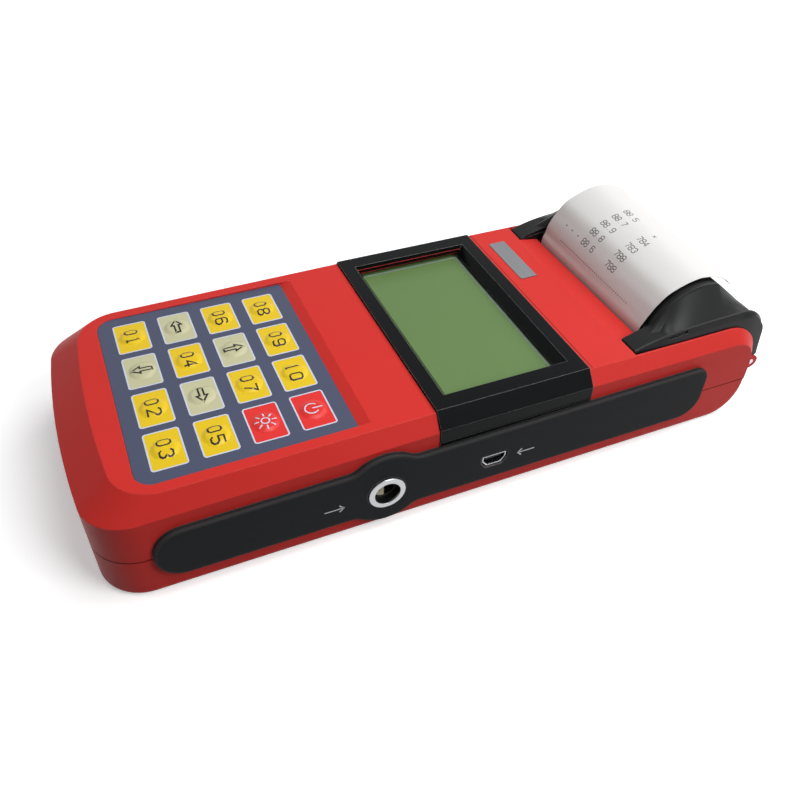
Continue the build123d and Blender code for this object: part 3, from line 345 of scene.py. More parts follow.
# Pad-printed ink on rubber: white, a little duller than the printed film.
WHITE_INK = Finish(
    "pad_printed_white_ink", "#DADCDD", 0.5, "grip_rubber", specular=0.3, grain_mm=0.5,
    grain_height_mm=0.004, drift=0.04,
)
# Thermal print: grey brown dots, paler where the head ran cool.
THERMAL_PRINT = Finish(
    "thermal_print", "#5B5658", 0.6, "thermal_paper", specular=0.25, grain_mm=0.4, grain_height_mm=0.002,
    drift_mm=4.0, drift=0.35,
)
# Thermal paper, coated and calendered: warm white, smooth, a faint sheen over soft fibres.
COATED_PAPER = StreakFinish(
    "calendered_thermal_paper", "#E2E0DE", 0.48, "thermal_paper", specular=0.2, grain_mm=0.5,
    grain_height_mm=0.006, drift_mm=25.0, drift=0.015, streak_mm=2.5, share=0.06, detail=4.0, bend=1.2,
)
# Twisted nematic display glass with its polariser: grey green, with a faint grid of dots.
DISPLAY_GLASS = PanelFinish(
    "polarised_display_glass", "#708F57", 0.3, "lcd_glass", ior=1.52, specular=0.12, drift_mm=45.0,
    grain_height_mm=0.001, roughness_spread=0.02,
)
# Bare edge of the display glass, outside its polariser: paler and greyer than the field.
GLASS_RIM = Finish(
    "cut_display_glass", "#8B9D90", 0.3, "lcd_glass", ior=1.52, specular=0.12, drift=0.04,
    grain_height_mm=0.001,
)
# Acrylic sheet, cast clear: only its reflections show.
CLEAR_ACRYLIC = Finish(
    "cast_clear_acrylic", "#2A3228", 0.05, "clear_lens", ior=1.49, grain_mm=8.0, grain_height_mm=0.001,
    drift=0.01, roughness_spread=0.02, alpha=0.05,
)
# Aluminium, brushed and clear anodised: soft grey with streaks along its length.
BRUSHED_ALUMINIUM = StreakFinish(
    "brushed_anodised_aluminium", "#919296", 0.36, "silver_plate", metallic=1.0, grain_mm=0.12,
    grain_height_mm=0.004, streak_mm=14.0, drift=0.08, roughness_spread=0.08,
)
# Aluminium, pressed from rolled sheet: duller, with short rolling streaks.
PRESSED_ALUMINIUM = StreakFinish(
    "pressed_aluminium", "#B9BCBE", 0.42, "head_sink", metallic=1.0, grain_mm=0.3, grain_height_mm=0.004,
    streak_mm=8.0, drift=0.08,
)
# Nickel, plated over turned brass: bright grey, with a fine turned grain.
NICKEL_PLATE = Finish(
    "plated_nickel", "#ABADB0", 0.26, "plated_socket", metallic=1.0, grain_mm=0.25, grain_height_mm=0.003,
    drift=0.05, roughness_spread=0.05, edge_mm=0.12,
)
# Steel, cold rolled and zinc plated: cool grey with a fine grain.
BRIGHT_STEEL = Finish(
    "zinc_plated_steel", "#BFC2C6", 0.3, "spring_steel", metallic=1.0, grain_mm=0.3, grain_height_mm=0.004,
    drift=0.08, edge_mm=0.12,
)
# Steel, deep drawn: the motor's can, a darker satin grey.
MOTOR_STEEL = Finish(
    "drawn_steel_can", "#9A9DA0", 0.34, "motor_can", metallic=1.0, grain_mm=0.4, grain_height_mm=0.004,
)
# Brass, turned: yellow and bright.
TURNED_BRASS = Finish(
    "turned_brass", "#C8A25A", 0.25, "brass_contacts", metallic=1.0, grain_mm=0.2, grain_height_mm=0.003,
)
# Nylon, moulded, in its natural milky white and in cream: waxy.
NATURAL_NYLON = Finish(
    "moulded_natural_nylon", "#DAD7CB", 0.45, "white_gear", ior=1.53, specular=0.4, grain_height_mm=0.006,
)
CREAM_NYLON = Finish(
    "moulded_cream_nylon", "#D9D0B2", 0.42, "cream_insert", ior=1.53, specular=0.4, grain_height_mm=0.006,
)
# Spacer film and circuit film of the keypad: milky polyester.
MILKY_FILM = Finish("milky_polyester", "#D2D1C8", 0.45, "keypad_layers", ior=1.57, grain_height_mm=0.004)
# Glass-epoxy board under green solder resist: glossy, with the weave just showing.
SOLDER_RESIST = Finish(
    "green_solder_resist", "#1E5A33", 0.3, "circuit_board", ior=1.55, coat=0.3, grain_mm=1.2,
    grain_height_mm=0.006, drift_mm=6.0, drift=0.12,
)
# PVC sleeve, heat shrunk over the cells: smooth blue with soft wrinkles.
SHRUNK_PVC = Finish(
    "heat_shrunk_blue_pvc", "#1F3F86", 0.28, "battery_wrap", ior=1.53, grain_mm=5.0, grain_height_mm=0.06,
)
# Glazed alumina of the print head: dense, brownish cream.
GLAZED_ALUMINA = Finish("glazed_alumina", "#8A7E6E", 0.2, "ceramic_head", ior=1.7, grain_height_mm=0.002)

NODE_FINISHES: dict[str, Finish] = {
    "lower_housing": RED_ABS, "upper_housing": RED_ABS, "battery_door": RED_ABS,
    "display_bezel": BLACK_ACRYLIC, "display_lens": CLEAR_ACRYLIC, "lcd_panel": DISPLAY_GLASS,
    "lcd_board": SOLDER_RESIST, "main_board": SOLDER_RESIST, "nameplate": BRUSHED_ALUMINIUM,
    "keypad_film": BLUE_FILM, "keypad_spacer": MILKY_FILM, "keypad_circuit": MILKY_FILM,
    "snap_domes": BRIGHT_STEEL, "grip_right": GRIP_RUBBER, "grip_left": GRIP_RUBBER,
    "socket_shell": NICKEL_PLATE, "socket_insert": CREAM_NYLON, "socket_contacts": TURNED_BRASS,
    "socket_nut": NICKEL_PLATE, "usb_shell": NICKEL_PLATE, "usb_tongue": BLACK_ABS,
    "battery_pack": SHRUNK_PVC, "housing_screws": BRIGHT_STEEL, "battery_door_screws": BRIGHT_STEEL,
    "board_screws": BRIGHT_STEEL, "printer_frame": BLACK_ABS, "platen_roller": GRIP_RUBBER,
    "platen_shaft": BRIGHT_STEEL, "platen_gear": NATURAL_NYLON, "idler_gear": NATURAL_NYLON,
    "motor_pinion": TURNED_BRASS, "feed_motor": MOTOR_STEEL, "thermal_head": GLAZED_ALUMINA,
    "head_sink": PRESSED_ALUMINIUM, "head_spring": BRIGHT_STEEL, "paper_roll": COATED_PAPER,
    "paper_core": NATURAL_NYLON, "paper_strip": COATED_PAPER, "printer_cover": BLACK_ABS,
    "hinge_pin": BRIGHT_STEEL,
}


def dress_node(node: str, finish: Finish) -> None:
    """Give a carried-over CAD node its finish.

    Args:
        node: Name of the node.
        finish: The finish that it gets.
    """
    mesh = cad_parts[node].data
    mesh.materials.clear()
    mesh.materials.append(finish.material())
    log.info("%s: carried over, %s", node, finish.name)


def add_piece(name: str, mesh: bpy.types.Mesh, finish: Finish, body: str) -> bpy.types.Object:
    """Put a mesh into the scene as a piece, dress it and let it ride on a body.

    Args:
        name: Name of the piece.
        mesh: Its mesh.
        finish: The finish that it gets.
        body: The body that it moves with.

    Returns:
        The new object.
    """
    piece = bpy.data.objects.new(name, mesh)
    bpy.context.scene.collection.objects.link(piece)
    mesh.materials.clear()
    mesh.materials.append(finish.material())
    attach(piece, body)
    log.info("%s: %d faces, rides on %s", name, len(mesh.polygons), body)
    return piece


def make_piece(
    name: str, points: list[Point3], faces: list[Face], finish: Finish, body: str, smooth: bool = True
) -> bpy.types.Object:
    """Make a mesh piece from points in millimetres.

    Args:
        name: Name of the piece.
        points: Points in millimetres, in the frame of the model.
        faces: Faces as point numbers.
        finish: The finish that it gets.
        body: The body that it moves with.
        smooth: Whether its faces are shaded smoothly, up to the sharp angle.

    Returns:
        The new object.
    """
    mesh = bpy.data.meshes.new(name)
    mesh.from_pydata([(x * MM, y * MM, z * MM) for x, y, z in points], [], faces)
    mesh.validate()
    mesh.update()
    if smooth:
        mesh.shade_smooth()
        mesh.set_sharp_from_angle(angle=math.radians(SHARP_ANGLE))
    else:
        mesh.shade_flat()
    return add_piece(name, mesh, finish, body)


def loft_faces(rings: int, count: int) -> list[Face]:
    """Quads between closed rings of points that follow each other.

    Args:
        rings: Number of rings.
        count: Points in each.

    Returns:
        Faces as point numbers.
    """
    faces: list[Face] = []
    for ring in range(rings - 1):
        for place in range(count):
            a, b = ring * count + place, ring * count + (place + 1) % count
            faces.append((a, a + count, b + count, b))
    return faces


def sheet_faces(rows: int, cells: int) -> list[Face]:
    """Faces of a thick sheet: a grid of points, the same grid below it, and the edges between them.

    Args:
        rows: Cells along the sheet.
        cells: Cells across it, whose points follow each other.

    Returns:
        Faces as point numbers.
    """
    width = cells + 1
    layer = width * (rows + 1)
    faces: list[Face] = []
    for row in range(rows):
        for cell in range(cells):
            a = row * width + cell
            faces.append((a, a + 1, a + 1 + width, a + width))
            faces.append((layer + a, layer + a + width, layer + a + 1 + width, layer + a + 1))
        for cell, turn in ((0, 1), (cells, -1)):
            a = row * width + cell
            faces.append((a, a + width, layer + a + width, layer + a)[::turn])
    for row, turn in ((0, 1), (rows, -1)):
        for a in range(row * width, row * width + cells):
            faces.append((a, layer + a, layer + a + 1, a + 1)[::turn])
    return faces


def add_bar(name: str, section: list[Point2], span_x: Point2, side: int, finish: Finish) -> None:
    """Make a bar along X on the housing.

    Args:
        name: Name of the piece.
        section: Its section as y and z, anticlockwise as seen from +X.
        span_x: Its inner and outer end.
        side: 1 for the right side, -1 for its mirror image on the left.
        finish: The finish that it gets.
    """
    points = [(side * x, y, z) for x in span_x for y, z in section]
    count = len(section)
    faces = [tuple(range(count))[::-1], tuple(range(count, 2 * count))]
    faces += [face[::-1] for face in loft_faces(2, count)]
    make_piece(name, points, [face[::side] for face in faces], finish, "housing", smooth=False)


def side_name(side: int) -> str:
    """Word for a side, 1 or -1, in the name of a piece."""
    return "right" if side > 0 else "left"


def arc(radius: float, start: float, stop: float, steps: int) -> list[Point2]:
    """Points of an arc about the origin.

    Args:
        radius: Its radius.
        start: Angle of its first point in degrees.
        stop: Angle of its last point.
        steps: Steps between them.

    Returns:
        The points, one more than the steps.
    """
    angles = [math.radians(start + (stop - start) * step / steps) for step in range(steps + 1)]
    return [(radius * math.cos(angle), radius * math.sin(angle)) for angle in angles]


def stroke(path: list[Point2], width: float, step: float = 0.4, closed: bool = False) -> list[Quad]:
    """Quads of a drawn line of even width, cut short enough to bend over a surface.

    Args:
        path: Points of the line.
        width: Width of the line.
        step: Longest piece of it.
        closed: Whether the line returns to its start.

    Returns:
        Quads, each four points.
    """
    points = [Vector(p) for p in path]
    if closed:
        points.append(points[0])
    sides = []
    for place, point in enumerate(points):
        before = points[place - 1] if place else (points[-2] if closed else None)
        after = points[place + 1] if place + 1 < len(points) else (points[1] if closed else None)
        first = (point - before).normalized() if before is not None else (after - point).normalized()
        second = (after - point).normalized() if after is not None else first
        normal = Vector((-first.y - second.y, first.x + second.x)).normalized()
        reach = width / 2 / max(MITRE, normal.dot(Vector((-first.y, first.x))))
        sides.append((point + normal * reach, point - normal * reach))
    quads = []
    for (left, right), (next_left, next_right) in zip(sides, sides[1:]):
        count = max(1, math.ceil((next_left - left).length / step))
        for part in range(count):
            t, u = part / count, (part + 1) / count
            near = [tuple(left.lerp(next_left, t)), tuple(right.lerp(next_right, t))]
            far = [tuple(right.lerp(next_right, u)), tuple(left.lerp(next_left, u))]
            quads.append(near + far)
    return quads


def turned(quads: list[Quad], angle: float, move: Point2, scale: float = 1.0) -> list[Quad]:
    """Turn, scale and move drawn quads.

    Args:
        quads: The drawing.
        angle: Turn in degrees, anticlockwise.
        move: Shift after the turn.
        scale: Scale before the turn.

    Returns:
        The moved quads.
    """
    c, s = math.cos(math.radians(angle)) * scale, math.sin(math.radians(angle)) * scale
    return [[(move[0] + x * c - y * s, move[1] + x * s + y * c) for x, y in quad] for quad in quads]


def rounded_box(half_x: float, half_y: float, radius: float, steps: int = 6) -> list[Point2]:
    """Outline of a rounded rectangle about the origin, anticlockwise.

    Args:
        half_x: Half its width.
        half_y: Half its height.
        radius: Radius of its corners.
        steps: Steps in each corner.

    Returns:
        Points of the outline.
    """
    outline = []
    for corner, (sx, sy) in enumerate(((1, 1), (-1, 1), (-1, -1), (1, -1))):
        for x, y in arc(radius, 90 * corner, 90 * corner + 90, steps):
            outline.append((sx * (half_x - radius) + x, sy * (half_y - radius) + y))
    return outline


def rectangle(across: Point2, along: Point2) -> Quad:
    """Corners of a rectangle, anticlockwise."""
    return [(across[0], along[0]), (across[1], along[0]), (across[1], along[1]), (across[0], along[1])]


def paint(name: str, quads: list[Quad], surface: Surface, finish: Finish, body: str = "housing") -> None:
    """Lay drawn quads on a surface as one thin piece of print.

    Args:
        name: Name of the piece.
        quads: The drawing.
        surface: Gives the point in millimetres for a point of the drawing.
        finish: The ink.
        body: The body that it moves with.
    """
    points = [surface(u, v) for quad in quads for u, v in quad]
    faces = [tuple(range(start, start + 4)) for start in range(0, len(points), 4)]
    make_piece(name, points, faces, finish, body, smooth=False)


class Digits:
    """Plain plotter-style figures, drawn as lines on a grid four wide and six high."""

    LINES: dict[str, list[list[Point2]]] = {
        "0": [[(0, 1), (0, 5), (1, 6), (3, 6), (4, 5), (4, 1), (3, 0), (1, 0), (0, 1)]],
        "1": [[(1, 5), (2, 6), (2, 0)], [(1, 0), (3, 0)]],
        "2": [[(0, 5), (1, 6), (3, 6), (4, 5), (4, 4), (0, 0), (4, 0)]],
        "3": [[(0, 5), (1, 6), (3, 6), (4, 5), (4, 4), (3, 3), (4, 2), (4, 1), (3, 0), (1, 0), (0, 1)]],
        "4": [[(3, 0), (3, 6), (0, 2), (4, 2)]],
        "5": [[(4, 6), (0, 6), (0, 3.4), (3, 3.4), (4, 2.4), (4, 1), (3, 0), (1, 0), (0, 1)]],
        "6": [[(4, 5), (3, 6), (1, 6), (0, 5), (0, 1), (1, 0), (3, 0), (4, 1), (4, 2.4), (3, 3.4), (0, 3.4)]],
        "7": [[(0, 6), (4, 6), (1.5, 0)]],
        "8": [
            [(1, 3), (0, 4), (0, 5), (1, 6), (3, 6), (4, 5), (4, 4), (3, 3), (1, 3)],
            [(1, 3), (0, 2), (0, 1), (1, 0), (3, 0), (4, 1), (4, 2), (3, 3)],
        ],
        "9": [[(0, 1), (1, 0), (3, 0), (4, 1), (4, 5), (3, 6), (1, 6), (0, 5), (0, 3.6), (1, 2.6), (4, 2.6)]],
        ".": [[(1.6, 0), (2.2, 0)]],
        "-": [[(0.6, 3), (3.4, 3)]],
        "*": [[(0.6, 1.6), (3.4, 4.4)], [(0.6, 4.4), (3.4, 1.6)]],
    }
    ROWS: int = 6

    @classmethod
    def drawn(cls, text: str, height: float, width: float, spacing: float = 6.0) -> list[Quad]:
        """Draw a row of figures from the origin to the right.

        Args:
            text: The figures.
            height: Height of a figure.
            width: Width of its lines.
            spacing: Distance from one figure to the next, in grid squares.

        Returns:
            Quads of the drawing.
        """
        scale = height / cls.ROWS
        quads = []
        for place, figure in enumerate(text):
            for line in cls.LINES.get(figure, []):
                path = [((x + place * spacing) * scale, y * scale) for x, y in line]
                quads += stroke(path, width)
        return quads


class Legend(Enum):
    """What a key shows."""

    NUMBER = "number"
    ARROW = "arrow"
    SUN = "sun"
    POWER = "power"


@dataclass(frozen=True)
class KeyPlan:
    """One key: its node, its film and its legend, with a turn in degrees or a number as detail."""

    node: str
    film: Finish
    legend: Legend
    detail: int = 0


KEY_PLANS = (
    KeyPlan("key_enter", YELLOW_FILM, Legend.NUMBER, 1),
    KeyPlan("key_left", IVORY_FILM, Legend.ARROW, 180),
    KeyPlan("key_exit", YELLOW_FILM, Legend.NUMBER, 2),
    KeyPlan("key_print", YELLOW_FILM, Legend.NUMBER, 3),
    KeyPlan("key_up", IVORY_FILM, Legend.ARROW, 90),
    KeyPlan("key_menu", YELLOW_FILM, Legend.NUMBER, 4),
    KeyPlan("key_down", IVORY_FILM, Legend.ARROW, 270),
    KeyPlan("key_feed", YELLOW_FILM, Legend.NUMBER, 5),
    KeyPlan("key_delete", YELLOW_FILM, Legend.NUMBER, 6),
    KeyPlan("key_right", IVORY_FILM, Legend.ARROW, 0),
    KeyPlan("key_store", YELLOW_FILM, Legend.NUMBER, 7),
    KeyPlan("key_backlight", RED_FILM, Legend.SUN),
    KeyPlan("key_material", YELLOW_FILM, Legend.NUMBER, 8),
    KeyPlan("key_scale", YELLOW_FILM, Legend.NUMBER, 9),
    KeyPlan("key_direction", YELLOW_FILM, Legend.NUMBER, 10),
    KeyPlan("key_power", RED_FILM, Legend.POWER),
)


@dataclass
class Keypad:
    """Membrane keypad of sixteen embossed keys on a grid of four by four. Sizes in millimetres."""

    centre_y: float = -61.51
    pitch: Point2 = (16.6, 13.29)
    columns: int = 4
    top_z: float = 33.75
    foot_z: float = 33.15
    dome_radius: float = 4.0
    dome_rise: float = 0.6
    shoulder: float = 1.5
    shoulder_share: float = 0.8
    sink: float = 0.02
    field_half: Point2 = (6.9, 4.62)
    field_radius: float = 0.7
    field_steps: int = 9
    edge_step: float = 2.0
    ink: float = 0.03
    outline_lift: float = 0.048
    legend_lift: float = 0.066
    viewer_turn: int = 90
    line_width: float = 0.42
    legend_width: float = 0.5
    sign_width: float = 0.4
    arrow_width: float = 0.64
    arrow_scale: float = 0.86
    arrow: tuple[Point2, ...] = (
        (-3.3, -0.75), (0.6, -0.75), (0.6, -1.75), (3.4, 0), (0.6, 1.75), (0.6, 0.75), (-3.3, 0.75),
    )
    sun_radius: float = 1.1
    sun_steps: int = 18
    ray: Point2 = (1.75, 3.1)
    rays: int = 8
    power_radius: float = 1.9
    power_arc: Point2 = (130, 410)
    power_steps: int = 28
    power_stem: Point2 = (0.2, 3.0)
    power_drop: float = 0.3
    figure_height: float = 3.5
    figure_reach: float = 2.1
    rings: int = 10
    spokes: int = 48

    def centre(self, place: int) -> Point2:
        """Centre of the key at a place in the plan.

        Args:
            place: Number of the key, four to each line along the keypad.

        Returns:
            Its x and y.
        """
        column, row = divmod(place, self.columns)
        middle = (self.columns - 1) / 2
        return (row - middle) * self.pitch[0], self.centre_y + (column - middle) * self.pitch[1]

    def dome_height(self, radius: float) -> float:
        """Height of the embossed dome above the film: a steep shoulder and a softly crowned top.

        Args:
            radius: Distance from the middle of the key.

        Returns:
            Height in millimetres.
        """
        if radius >= self.dome_radius:
            return 0.0
        share = min(1.0, (self.dome_radius - radius) / self.shoulder)
        rise = share * share * (3 - 2 * share)
        crown = 1 - (radius / self.dome_radius) ** 2
        return self.dome_rise * (self.shoulder_share * rise + (1 - self.shoulder_share) * crown - self.sink)

    def build_dome(self, plan: KeyPlan, x: float, y: float) -> None:
        """Make the travelling dome of one key, in place of its CAD disc.

        Args:
            plan: The key.
            x: Middle of the key along X.
            y: Middle of the key along Y.
        """
        top = self.top_z + self.ink
        radii = [self.dome_radius * ring / self.rings for ring in range(1, self.rings + 1)]
        levels = [top + self.dome_height(radius) for radius in radii] + [self.foot_z]
        radii.append(self.dome_radius)
        points: list[Point3] = [(x, y, top + self.dome_height(0))]
        for radius, level in zip(radii, levels):
            points += [(x + u, y + v, level) for u, v in arc(radius, 0, 360, self.spokes)[:-1]]
        faces = [(0, 1 + spoke, 1 + (spoke + 1) % self.spokes) for spoke in range(self.spokes)]
        faces += [tuple(1 + k for k in face) for face in loft_faces(len(radii), self.spokes)]
        faces.append(tuple(range(len(points) - self.spokes, len(points)))[::-1])
        dome = make_piece(f"{plan.node}_film", points, faces, plan.film, f"{plan.node}_dome")
        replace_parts(dome, plan.node)

    def field_quads(self, x: float, y: float) -> list[Quad]:
        """Printed field of one key, a rounded rectangle with the dome left out.

        Args:
            x: Middle of the key along X.
            y: Middle of the key along Y.

        Returns:
            Quads from the dome's rim to the field's edge.
        """
        rim = rounded_box(*self.field_half, self.field_radius, self.field_steps)
        quads = []
        for (ax, ay), (bx, by) in zip(rim, rim[1:] + rim[:1]):
            start = math.atan2(ay, ax)
            turn = (math.atan2(by, bx) - start) % (2 * math.pi)
            count = max(1, math.ceil(turn / (2 * math.pi / self.spokes)))
            for part in range(count):
                shares = (part / count, (part + 1) / count)
                outer = [(x + ax + (bx - ax) * t, y + ay + (by - ay) * t) for t in shares]
                angles = [start + turn * t for t in reversed(shares)]
                radius = self.dome_radius
                quads.append(outer + [(x + radius * math.cos(a), y + radius * math.sin(a)) for a in angles])
        return quads

    def legend_quads(self, plan: KeyPlan) -> list[Quad]:
        """Drawing of a key's legend about the origin.

        Args:
            plan: The key.

        Returns:
            Quads, with up as +Y and right as +X.
        """
        if plan.legend is Legend.ARROW:
            outline = stroke(list(self.arrow), self.arrow_width, closed=True)
            return turned(outline, plan.detail + self.viewer_turn, (0, 0), self.arrow_scale)
        if plan.legend is Legend.SUN:
            quads = stroke(arc(self.sun_radius, 0, 360, self.sun_steps)[:-1], self.sign_width, closed=True)
            ray = stroke([(reach, 0) for reach in self.ray], self.sign_width)
            for place in range(self.rays):
                quads += turned(ray, 360 / self.rays * place, (0, 0))
            return quads
        if plan.legend is Legend.POWER:
            quads = stroke(arc(self.power_radius, *self.power_arc, self.power_steps), self.sign_width)
            quads += stroke([(0, reach) for reach in self.power_stem], self.sign_width)
            return turned(quads, 0, (0, -self.power_drop))
        quads = []
        for side, figure in zip((-1, 1), f"{plan.detail:02d}"):
            drawn = Digits.drawn(figure, self.figure_height, self.legend_width)
            left = side * self.figure_reach - 2 * self.figure_height / Digits.ROWS
            quads += turned(drawn, 0, (left, -self.figure_height / 2))
        return quads

    def build(self) -> None:
        """Make the domes, the printed fields with their outlines, and the legends."""
        fields: dict[str, list[Quad]] = {}
        outlines: list[Quad] = []
        films = {plan.film.name: plan.film for plan in KEY_PLANS}
        rim = rounded_box(*self.field_half, self.field_radius)
        edge = stroke(rim, self.line_width, self.edge_step, closed=True)
        for place, plan in enumerate(KEY_PLANS):
            x, y = self.centre(place)
            self.build_dome(plan, x, y)
            fields.setdefault(plan.film.name, []).extend(self.field_quads(x, y))
            outlines += turned(edge, 0, (x, y))
            ink = PALE_INK if plan.film is RED_FILM else BLACK_INK

            def on_key(u: float, v: float, x: float = x, y: float = y) -> Point3:
                """Point of the legend on the dome or the flat film about it."""
                return x + u, y + v, self.top_z + self.legend_lift + self.dome_height(math.hypot(u, v))

            paint(f"{plan.node}_legend", self.legend_quads(plan), on_key, ink, f"{plan.node}_dome")
        for name, quads in fields.items():
            paint(f"fields_{name}", quads, lambda u, v: (u, v, self.top_z + self.ink), films[name])
        paint("key_outlines", outlines, lambda u, v: (u, v, self.top_z + self.outline_lift), PALE_INK)


@dataclass
class PaperStrip:
    """Printed paper that rises from the slot and bends over the cover. Sizes in millimetres."""

    half_width: float = 28.75
    thickness: float = 0.12
    start: Point2 = (62.0, 27.4)
    throat: float = 2.1
    slot: Point2 = (62.1, 30.8)
    crease: tuple[Point2, ...] = ((62.45, 34.2), (62.75, 35.5), (63.3, 36.5))
    middle: Point2 = (81.5, 29.8)
    reach: float = 19.05
    lift: float = 2.6
    bends: tuple[Point2, ...] = ((150, 0.35), (138, 0.5), (120, 0.8), (90, 1.0), (62, 1.0), (42, 0.8))
    knot_parts: int = 12
    steps: int = 72
    across: int = 30
    rows: tuple[str, ...] = ("- - - 88.6    788", "88.8    788", "88.9    783", "88.7    784", "88.5     *")
    figure_height: float = 2.0
    figure_spacing: float = 5.25
    line_width: float = 0.26
    row_pitch: float = 4.2
    first_row: float = 14.4
    column_x: float = -11.3
    dots: int = 36
    dot_pitch: float = 1.1
    dot: Point2 = (0.42, 0.3)
    dotted_at: float = 10.6
    print_lift: float = 0.02
    end_play: float = 1e-6
    profiles: tuple[list[Vector], list[Vector]] = field(init=False)

    def __post_init__(self) -> None:
        """Work out the sections at the near edge and at the far, lifted edge."""
        self.profiles = (self.profile(0.0), self.profile(self.lift))

    def profile(self, rise: float) -> list[Vector]:
        """Points of the strip's section for a given lift, evenly spaced along it.

        Args:
            rise: How far this section stands off the cover beyond the near edge.

        Returns:
            Points as (y, z).
        """
        knots = [Vector(self.start), Vector((self.start[0], self.start[1] + self.throat)), Vector(self.slot)]
        knots += [Vector(point) for point in self.crease]
        for angle, share in self.bends:
            reach, turn = self.reach + share * rise, math.radians(angle)
            knots.append(Vector(self.middle) + reach * Vector((math.cos(turn), math.sin(turn))))
        knots = [2 * knots[0] - knots[1]] + knots + [2 * knots[-1] - knots[-2]]
        fine: list[Vector] = []
        for a, b, c, d in zip(knots, knots[1:], knots[2:], knots[3:]):
            for part in range(self.knot_parts):
                t = part / self.knot_parts
                square, cube = 2 * a - 5 * b + 4 * c - d, 3 * b - a - 3 * c + d
                fine.append(0.5 * (2 * b + (c - a) * t + square * t**2 + cube * t**3))
        fine.append(knots[-2])
        lengths = [0.0]
        for p, q in zip(fine, fine[1:]):
            lengths.append(lengths[-1] + (q - p).length)
        even = []
        place = 0
        for step in range(self.steps + 1):
            target = lengths[-1] * step / self.steps
            while place < len(lengths) - 2 and lengths[place + 1] < target:
                place += 1
            span = lengths[place + 1] - lengths[place]
            even.append(fine[place].lerp(fine[place + 1], (target - lengths[place]) / span))
        return even

    def surface(self, x: float, share: float, lift: float = 0.0) -> Point3:
        """Point on the strip's upper face.

        Args:
            x: Place across the strip.
            share: Place along it, from 0 at the print head to 1 at its end.
            lift: Height above the face.

        Returns:
            The point.
        """
        near = (x + self.half_width) / (2 * self.half_width)
        low, high = self.profiles
        place = min(self.steps - self.end_play, max(0.0, share * self.steps))
        index = int(place)
        a = high[index].lerp(low[index], near)
        b = high[index + 1].lerp(low[index + 1], near)
        along = (b - a).normalized()
        point = a.lerp(b, place - index) + Vector((-along.y, along.x)) * (self.thickness + lift)
        return x, point.x, point.y

    def build(self) -> None:
        """Make the sheet in place of its CAD strip, and its print."""
        points: list[Point3] = []
        for lift in (0.0, -self.thickness):
            for step in range(self.steps + 1):
                for cell in range(self.across + 1):
                    x = self.half_width * (2 * cell / self.across - 1)
                    points.append(self.surface(x, step / self.steps, lift))
        faces = sheet_faces(self.steps, self.across)
        sheet = make_piece("printed_paper", points, faces, COATED_PAPER, "cover")
        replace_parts(sheet, "paper_strip")
        self.build_print()

    def build_print(self) -> None:
        """Print the rows of plain figures and the dotted line."""
        length = sum((q - p).length for p, q in zip(self.profiles[0], self.profiles[0][1:]))
        scale = self.figure_height / Digits.ROWS * self.figure_spacing
        quads: list[Quad] = []
        for row, text in enumerate(self.rows):
            start = self.column_x - text.index("88") * scale
            drawn = Digits.drawn(text, self.figure_height, self.line_width, self.figure_spacing)
            quads += turned(drawn, 0, (start, self.first_row + row * self.row_pitch))
        for place in range(self.dots):
            x = (place - self.dots / 2) * self.dot_pitch
            quads += stroke([(x, self.dotted_at), (x + self.dot[0], self.dotted_at)], self.dot[1])

        def on_face(u: float, v: float) -> Point3:
            """Point of the print on the paper's upper face."""
            return self.surface(u, v / length, self.print_lift)

        paint("paper_print", quads, on_face, THERMAL_PRINT, "cover")


@dataclass
class SideMarks:
    """Pad-printed arrows on the right grip, one pointing at each connector. Sizes in millimetres."""

    face_x: float = 44.42
    socket_mark: Point2 = (-43.12, 13.58)
    port_mark: Point2 = (16.67, 14.26)
    line_width: float = 0.42
    half_length: float = 2.8
    head: float = 1.3

    def build(self) -> None:
        """Make both arrows."""
        back = self.half_length - self.head
        drawn = stroke([(-self.half_length, 0.0), (self.half_length, 0.0)], self.line_width)
        drawn += stroke([(back, self.head), (self.half_length, 0.0), (back, -self.head)], self.line_width)
        quads = turned(drawn, 0, self.socket_mark) + turned(drawn, 180, self.port_mark)
        paint("side_marks", quads, lambda u, v: (self.face_x, u, v), WHITE_INK)


@dataclass
class SeamShadowLine:
    """Shadow line where the two housings meet, all round outside the grips. Sizes in millimetres."""

    height_z: float = 14.3
    half_height: float = 0.14
    proud: float = 0.04
    play: float = 0.01
    side_zone: float = 0.1
    front_zone: float = 18.0
    rear_zone: float = 4.0
    cover_half: float = 35.0

    def outside(self, middle: Vector, low: Vector, high: Vector) -> bool:
        """Whether an edge of the lower housing's rim lies on its outside wall.

        Args:
            middle: Middle of the edge.
            low: Lowest corner of the housing.
            high: Its highest corner.

        Returns:
            True outside, and false inside or below the cover.
        """
        near_rear = high.y - middle.y < self.rear_zone
        near_side = min(middle.x - low.x, high.x - middle.x) < self.side_zone
        near_front = middle.y - low.y < self.front_zone
        below_cover = near_rear and abs(middle.x) < self.cover_half
        return (near_side or near_front or near_rear) and not below_cover

    def build(self) -> None:
        """Follow the outer upper edge of the lower housing with a thin dark band of painted shadow."""
        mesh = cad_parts["lower_housing"].data
        low, high = (Vector(corner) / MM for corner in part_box("lower_housing"))
        points: list[Point3] = []
        faces: list[Face] = []
        for edge in mesh.edges:
            ends = [mesh.vertices[k].co / MM for k in edge.vertices]
            level = all(abs(end.z - self.height_z) < self.play for end in ends)
            if not level or not self.outside((ends[0] + ends[1]) / 2, low, high):
                continue
            start = len(points)
            for end in ends:
                x, y = end.xy + end.xy.normalized() * self.proud
                points += [(x, y, self.height_z + lift) for lift in (-self.half_height, self.half_height)]
            faces.append((start, start + 2, start + 3, start + 1))
        # Painted shadow line where the two housings meet.
        make_piece("seam_shadow_line", points, faces, SEAM_SHADOW, "housing", smooth=False)


